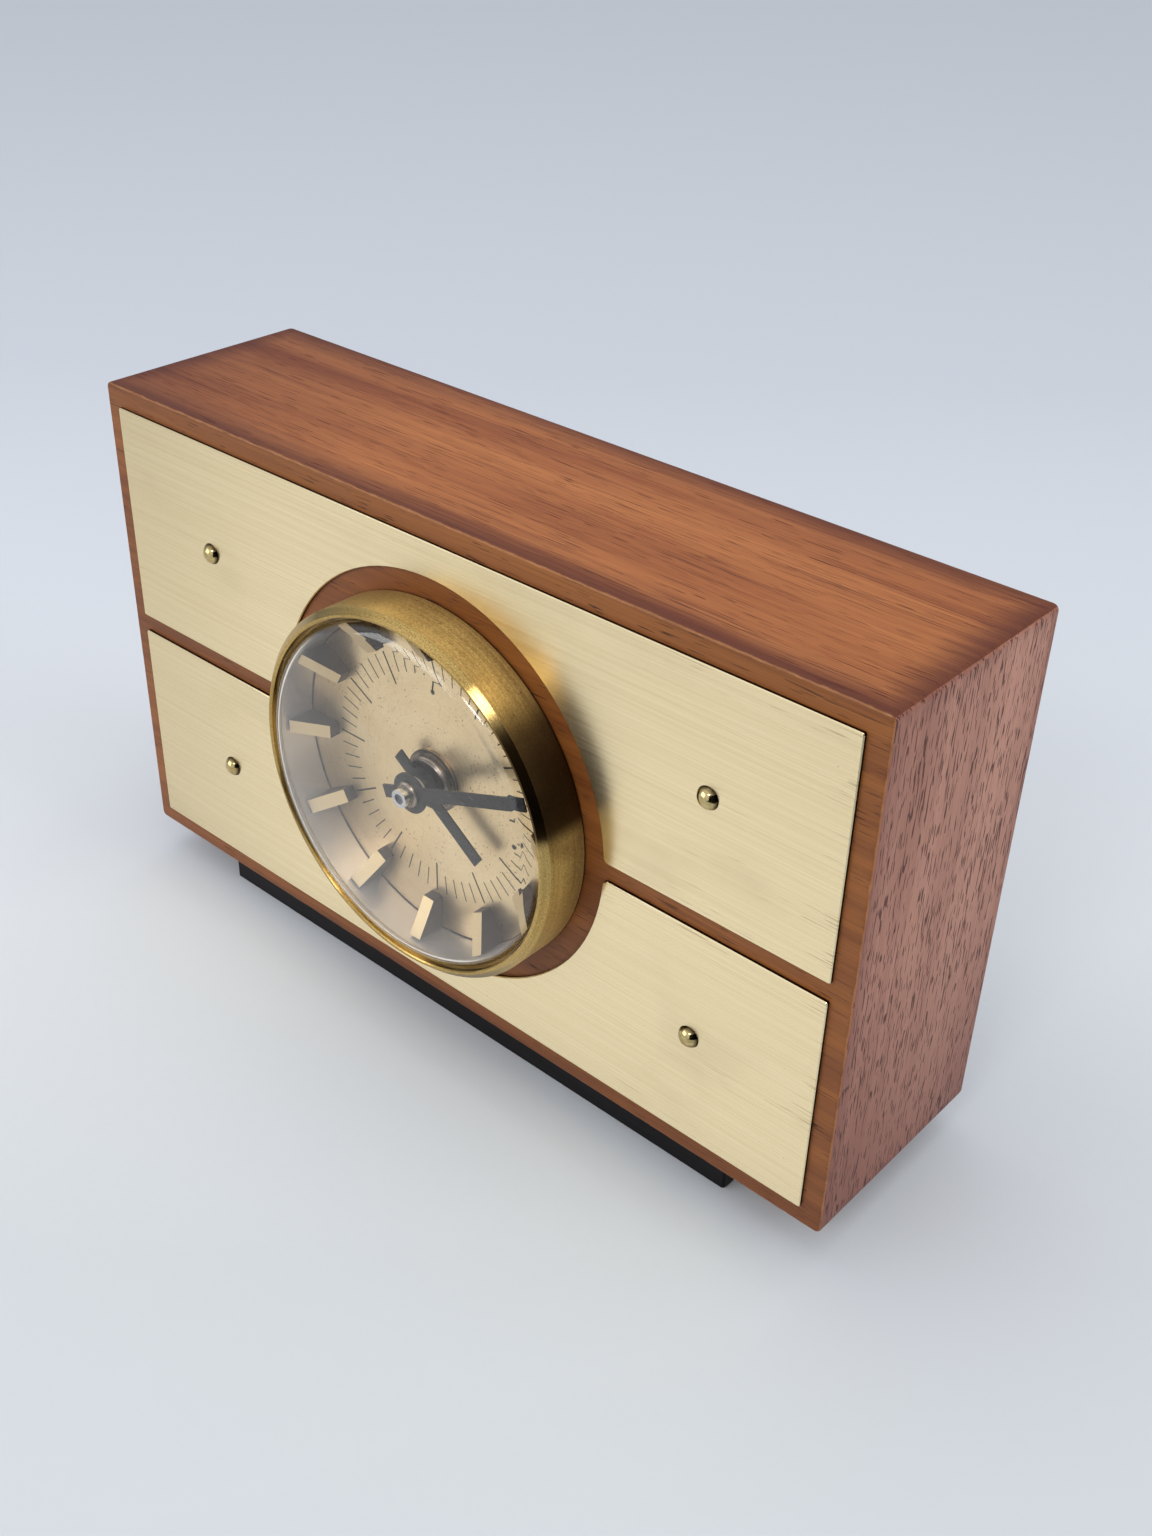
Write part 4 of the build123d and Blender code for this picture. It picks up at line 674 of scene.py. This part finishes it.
def cellSleeve(film):
    made, tree, shader, point = newMaterial("battery sleeve of shrunk red film")
    along = put(tree, "SeparateXYZ", {0: point})
    wear = patterns(tree, point, {"wear": (film["wearSize"], 3.0, 0.6)}, seed=4.4)["wear"]
    capStart, border = cellEnd - film["capLength"] * mm, film["capBorder"] * mm
    cap = put(tree, "MapRange", {0: along, 1: capStart - border, 2: capStart + border})
    body = put(tree, "MixRGB", {0: wear, 1: linear(film["worn"]), 2: linear(film["body"])})
    colour = put(tree, "MixRGB", {0: cap, 1: body, 2: linear(film["cap"])})
    surface(tree, shader, film, colour, wear, wear, {"Metallic": cap})
    return made


cover(["battery"], cellSleeve(sleeve))
print("all nodes have a finish")

# The crystal: acrylic moulded clear into a cap with a rounded shoulder. It is turned afresh here, because
# a fine, even mesh keeps the view of the dial free of ripples, and with the shoulder worn rounder.
acrylic = {
    "tint": "fdfcfa", "roughness": 0.012, "ior": 1.49, "edge": 3.4, "shoulder": 4.6, "thickness": 1.4,
    "arcSteps": 14, "domeSteps": 34, "turns": 160, "sharpAngle": 50.0,
    "scratchSize": (7.0, 7.0, 0.3), "hazeSize": (22.0, 22.0, 22.0), "depth": 0.00012,
}


def capProfile(rim, crown, inset):
    # Half of a cap's outline, from its crown to the foot of its rim: a dome, a shoulder and a wall,
    # all lying evenly inside the outer ones by the inset
    edgeTop = acrylic["edge"] * mm
    rise = crown - edgeTop
    sphere = (rim ** 2 + rise ** 2) / (2 * rise)
    centre = crown - sphere
    shoulder = acrylic["shoulder"] * mm
    armX = rim - shoulder
    armZ = centre + math.sqrt((sphere - shoulder) ** 2 - armX ** 2)
    meet = math.atan2(armZ - centre, armX)
    dome, bend = sphere - inset, shoulder - inset
    outline = []
    for step in range(acrylic["domeSteps"] + 1):
        angle = math.pi / 2 + (meet - math.pi / 2) * step / acrylic["domeSteps"]
        outline.append((dome * math.cos(angle), centre + dome * math.sin(angle)))
    for step in range(1, acrylic["arcSteps"] + 1):
        angle = meet * (1 - step / acrylic["arcSteps"])
        outline.append((armX + bend * math.cos(angle), armZ + bend * math.sin(angle)))
    outline.append((rim - inset, 0.0))
    return outline


def crystalAcrylic():
    made, tree, shader, point = newMaterial("acrylic moulded clear into a dome, finely scratched")
    worn = patterns(tree, point, {
        "scratch": (acrylic["scratchSize"], 2.0, 0.6),
        "haze": (acrylic["hazeSize"], 2.0, 0.5),
    }, seed=8.8)
    # The haze lies about one half, so twice the roughness brings it to the set one
    rough = put(tree, "Math", {"operation": "MULTIPLY", 0: worn["haze"], 1: 2 * acrylic["roughness"]})
    join(tree, shader, {
        "Base Color": linear(acrylic["tint"]), "Transmission Weight": 1.0, "IOR": acrylic["ior"],
        "Roughness": rough,
        "Normal": put(tree, "Bump", {"Distance": acrylic["depth"] * mm, "Height": worn["scratch"]}),
    })
    # Light falls through the dome on to the dial, as it does through the real one
    clear = put(tree, "BsdfTransparent", {"Color": linear(acrylic["tint"])})
    shadow = put(tree, "LightPath", {}, "Is Shadow Ray")
    mixed = put(tree, "MixShader", {0: shadow, 1: shader.outputs[0], 2: clear})
    join(tree, tree.nodes["Material Output"], {"Surface": mixed})
    return made


def crystalDome():
    rim = (crystalHigh.x - crystalLow.x) / 2
    crown = crystalHigh.y - crystalLow.y
    outer = capProfile(rim, crown, 0.0)
    inner = capProfile(rim, crown, acrylic["thickness"] * mm)
    turns = acrylic["turns"]
    points, faces = [], []

    def ring(radius, stand):
        first = len(points)
        for turn in range(turns):
            angle = 2 * math.pi * turn / turns
            points.append((dialCentre.x + radius * math.cos(angle), crystalHigh.y - stand,
                           dialCentre.z + radius * math.sin(angle)))
        return first

    def pole(stand):
        points.append((dialCentre.x, crystalHigh.y - stand, dialCentre.z))
        return len(points) - 1

    def bridge(first, second):
        for turn in range(turns):
            after = (turn + 1) % turns
            faces.append((first + turn, second + turn, second + after, first + after))

    outerPole, innerPole = pole(outer[0][1]), pole(inner[0][1])
    outerRings = [ring(x, z) for x, z in outer[1:]]
    innerRings = [ring(x, z) for x, z in inner[1:]]
    for turn in range(turns):
        after = (turn + 1) % turns
        faces.append((outerPole, outerRings[0] + turn, outerRings[0] + after))
        faces.append((innerPole, innerRings[0] + after, innerRings[0] + turn))
    for first, second in zip(outerRings, outerRings[1:]):
        bridge(first, second)
    for first, second in zip(innerRings, innerRings[1:]):
        bridge(second, first)
    bridge(outerRings[-1], innerRings[-1])
    made = newPiece("crystalDome", points, faces, crystalAcrylic(), "case")
    made.data.shade_smooth()
    made.data.set_sharp_from_angle(angle=math.radians(acrylic["sharpAngle"]))
    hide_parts("crystal")


crystalDome()
print("crystal turned")

# Minute marks: printed lines round the dial, every fifth one longer and wider
track = {"count": 60, "each": 5, "outer": 34.5, "inner": 28.8, "innerFive": 25.8, "width": 0.31,
         "widthFive": 0.5, "lift": 0.03}


def minuteTrack():
    points, faces = [], []
    for index in range(track["count"]):
        five = index % track["each"] == 0
        turn = Matrix.Rotation(2 * math.pi * index / track["count"], 3, "Y")
        half = (track["widthFive"] if five else track["width"]) / 2
        inner = track["innerFive"] if five else track["inner"]
        first = len(points)
        for side, radius in ((-half, inner), (half, inner), (half, track["outer"]), (-half, track["outer"])):
            spot = turn @ Vector((side * mm, 0.0, radius * mm))
            points.append((dialCentre.x + spot.x, dialFace - track["lift"] * mm, dialCentre.z + spot.z))
        faces.append((first, first + 1, first + 2, first + 3))
    newPiece("minuteTrack", points, faces, plainCoat("print"), "case")


minuteTrack()
print("dial printed")

# The pale sheet that the clock stands on, with painted light and shade in its colour: brightest round the
# clock, greyer near the camera and far off.
# The spans are in metres along "away", which points from the camera's side to the far side.
floorSheet = {
    "near": "c7cdd3", "middle": "d6dbe2", "far": "c8ced8", "away": (-0.653, 0.757, 0.0),
    "nearSpan": (-0.1, 0.03), "farSpan": (0.1, 0.5), "half": 6.0, "fleckSize": (2.0, 2.0, 2.0),
    "fleckShare": 0.02, "roughness": 0.6, "depth": 0.02,
}


def floorPaper(paper):
    made, tree, shader, point = newMaterial("photographer's paper, matt white")
    far = put(tree, "VectorMath", {"operation": "DOT_PRODUCT", 0: point, 1: paper["away"]}, "Value")
    fleck = patterns(tree, point, {"fleck": (paper["fleckSize"], 2.0, 0.5)}, seed=1.0)["fleck"]
    far = weighed(tree, far, (fleck, paper["fleckShare"]))
    # Painted light and shade: the sheet's tone goes from the near grey through the bright middle to the far
    # grey
    share = put(tree, "MapRange", {0: far, (1, 2): paper["nearSpan"]})
    colour = put(tree, "MixRGB", {0: share, 1: linear(paper["near"]), 2: linear(paper["middle"])})
    share = put(tree, "MapRange", {0: far, (1, 2): paper["farSpan"]})
    join(tree, shader, {
        "Base Color": put(tree, "MixRGB", {0: share, 1: colour, 2: linear(paper["far"])}),
        "Roughness": paper["roughness"],
        "Normal": put(tree, "Bump", {"Distance": paper["depth"] * mm, "Height": fleck}),
    })
    return made


half = floorSheet["half"]
corners = [(-half, -half, 0.0), (half, -half, 0.0), (half, half, 0.0), (-half, half, 0.0)]
stagePiece("floor", corners, [(0, 1, 2, 3)], floorPaper(floorSheet), [])

# A pale wall far round the clock takes up the floor's tone behind it in level views; it glows with painted
# light of its own. The tent lights the clock, so only the camera sees the wall.
wall = {
    "behind": "b7bdc6", "before": "c3c8cd", "high": "d2d7de", "mottle": "bdc4cd", "radius": 5.9,
    "height": 6.0, "rise": 2.4, "turns": 72, "mottleSize": (900.0, 900.0, 600.0),
    "mottleSpan": (0.4, 0.7), "mottleStrength": 0.15,
    "unseenBy": ["diffuse", "glossy", "transmission", "shadow"],
}


def wallPaint():
    made, tree, shader, point = newMaterial("studio wall, glowing grey")
    far = put(tree, "VectorMath", {"operation": "DOT_PRODUCT", 0: point, 1: floorSheet["away"]}, "Value")
    share = put(tree, "MapRange", {0: far, 1: -wall["radius"], 2: wall["radius"]})
    colour = put(tree, "MixRGB", {0: share, 1: linear(wall["before"]), 2: linear(wall["behind"])})
    level = put(tree, "SeparateXYZ", {0: point}, "Z")
    share = put(tree, "MapRange", {"interpolation_type": "SMOOTHSTEP", 0: level, 1: 0.0, 2: wall["rise"]})
    colour = put(tree, "MixRGB", {0: share, 1: colour, 2: linear(wall["high"])})
    mottle = patterns(tree, point, {"mottle": (wall["mottleSize"], 2.0, 0.5)}, seed=3.3)["mottle"]
    share = put(tree, "MapRange", {0: mottle, (1, 2): wall["mottleSpan"], 4: wall["mottleStrength"]})
    # The wall gives off its colour as painted light: darker behind, paler up high, with a faint mottle
    join(tree, shader, {
        "Base Color": linear("000000"), "Roughness": 0.9, "Specular IOR Level": 0.0,
        "Emission Color": put(tree, "MixRGB", {0: share, 1: colour, 2: linear(wall["mottle"])}),
        "Emission Strength": 1.0,
    })
    return made


def backWall():
    points, faces = [], []
    for turn in range(wall["turns"]):
        angle = 2 * math.pi * turn / wall["turns"]
        for level in (0.0, wall["height"]):
            points.append((wall["radius"] * math.cos(angle), wall["radius"] * math.sin(angle), level))
        after = 2 * ((turn + 1) % wall["turns"])
        faces.append((2 * turn, 2 * turn + 1, after + 1, after))
    stagePiece("wall", points, faces, wallPaint(), wall["unseenBy"])


backWall()

# Cards out of the picture, which only metal and the crystal show: black ones lie and stand below the
# camera, where the photographer stood, and bright ones lie in front of the clock and glow with painted
# light, the nearer one brighter
cards = {
    "blackCard": {"name": "card, matt black", "colour": "15161a", "glow": 0.0,
                  "lying": [(0.55, 0.085), (0.1, -0.405), (0.3, -0.69), (0.75, -0.05)]},
    "blackScreen": {"name": "card, matt black, standing", "colour": "15161a", "glow": 0.0,
                    "standing": [(0.3, -0.69), (0.75, -0.05)], "height": 0.52},
    "brightCard": {"name": "card, white, glowing", "colour": "ffffff", "glow": 0.78,
                   "lying": [(-1.0, -0.045), (0.13, -0.045), (0.05, -0.2), (-1.0, -0.2)]},
    "paleCard": {"name": "card, pale, glowing", "colour": "ffffff", "glow": 0.66,
                 "lying": [(-1.0, -0.2), (0.05, -0.2), (-0.08, -0.49), (-0.3, -1.0), (-1.0, -1.0)]},
}
cardLift = 1.0 * mm


def cardPaper(card):
    made, tree, shader, point = newMaterial(card["name"])
    # A glowing card gives off its colour as painted light and reflects nothing more
    join(tree, shader, {
        "Base Color": linear("000000" if card["glow"] else card["colour"]), "Roughness": 0.8,
        "Specular IOR Level": 0.2, "Emission Color": linear(card["colour"]),
        "Emission Strength": card["glow"],
    })
    return made


for name, card in cards.items():
    corners = [(x, y, cardLift) for x, y in card["lying" if "lying" in card else "standing"]]
    if "standing" in card:
        corners += [(x, y, card["height"]) for x, y, z in reversed(corners)]
    face = tuple(range(len(corners)))
    stagePiece(name, corners, [face], cardPaper(card), ["camera", "diffuse", "shadow"])

# A light tent, bright overhead and in front, and grey behind the clock
tent = {"dark": "8d939c", "light": "ffffff", "strength": 1.0, "towards": (0.35, -0.5, 0.79),
        "span": (-0.6, 0.95)}


def lightTent():
    world = bpy.data.worlds.new("lightTent")
    world.use_nodes = True
    tree = world.node_tree
    direction = put(tree, "TexCoord", {}, "Generated")
    facing = put(tree, "VectorMath", {"operation": "DOT_PRODUCT", 0: direction, 1: tent["towards"]}, "Value")
    share = put(tree, "MapRange", {"interpolation_type": "SMOOTHSTEP", 0: facing, (1, 2): tent["span"]})
    colour = put(tree, "MixRGB", {0: share, 1: linear(tent["dark"]), 2: linear(tent["light"])})
    join(tree, tree.nodes["Background"], {"Color": colour, "Strength": tent["strength"]})
    scene.world = world


lightTent()

# Soft lamps: one overhead, a small one high up in front, a large one in front to the left, and one to the
# right for the side
lamps = {
    "overhead": {"place": (-0.15, 0.0, 1.3), "aim": (0.0, 0.0, 0.05), "size": (1.1, 0.9), "power": 2.2},
    "tube": {"place": (0.37, -1.31, 1.11), "aim": (0.0, 0.0, 0.08), "size": (0.42, 0.22), "power": 3.4},
    "window": {"place": (-0.79, -1.13, 0.46), "aim": (0.0, 0.0, 0.08), "size": (0.95, 0.7), "power": 5.0},
    "doorway": {"place": (1.4, 0.35, 0.8), "aim": (0.0, 0.0, 0.08), "size": (0.9, 0.9), "power": 5.0},
}


def lamp(name):
    settings = lamps[name]
    data = bpy.data.lights.new(name, "AREA")
    data.shape = "RECTANGLE"
    data.size, data.size_y = settings["size"]
    data.energy = settings["power"]
    made = bpy.data.objects.new(name, data)
    made.location = settings["place"]
    aim = Vector(settings["aim"]) - made.location
    made.rotation_euler = aim.to_track_quat("-Z", "Y").to_euler()
    scene.collection.objects.link(made)


for name in lamps:
    lamp(name)

# The camera stands where the photo was taken from, found from the case's corners; its place is in
# millimetres
view = {
    "place": (257.09, -277.25, 315.99),
    "right": (0.746317, 0.665139, 0.024517),
    "down": (0.378528, -0.393852, -0.837614),
    "forward": (-0.547473, 0.634406, -0.545713),
    "lens": 39.55, "sensor": 36.0, "clipStart": 0.01,
}


def camera():
    data = bpy.data.cameras.new("camera")
    data.lens = view["lens"]
    data.sensor_width = view["sensor"]
    data.clip_start = view["clipStart"]
    made = bpy.data.objects.new("camera", data)
    axes = [Vector(view["right"]), -Vector(view["down"]), -Vector(view["forward"])]
    turn = Matrix(axes).transposed().to_4x4()
    made.matrix_world = Matrix.Translation(Vector(view["place"]) * mm) @ turn
    scene.collection.objects.link(made)
    scene.camera = made


camera()
scene.view_settings.view_transform = "Standard"
print("lit and framed")
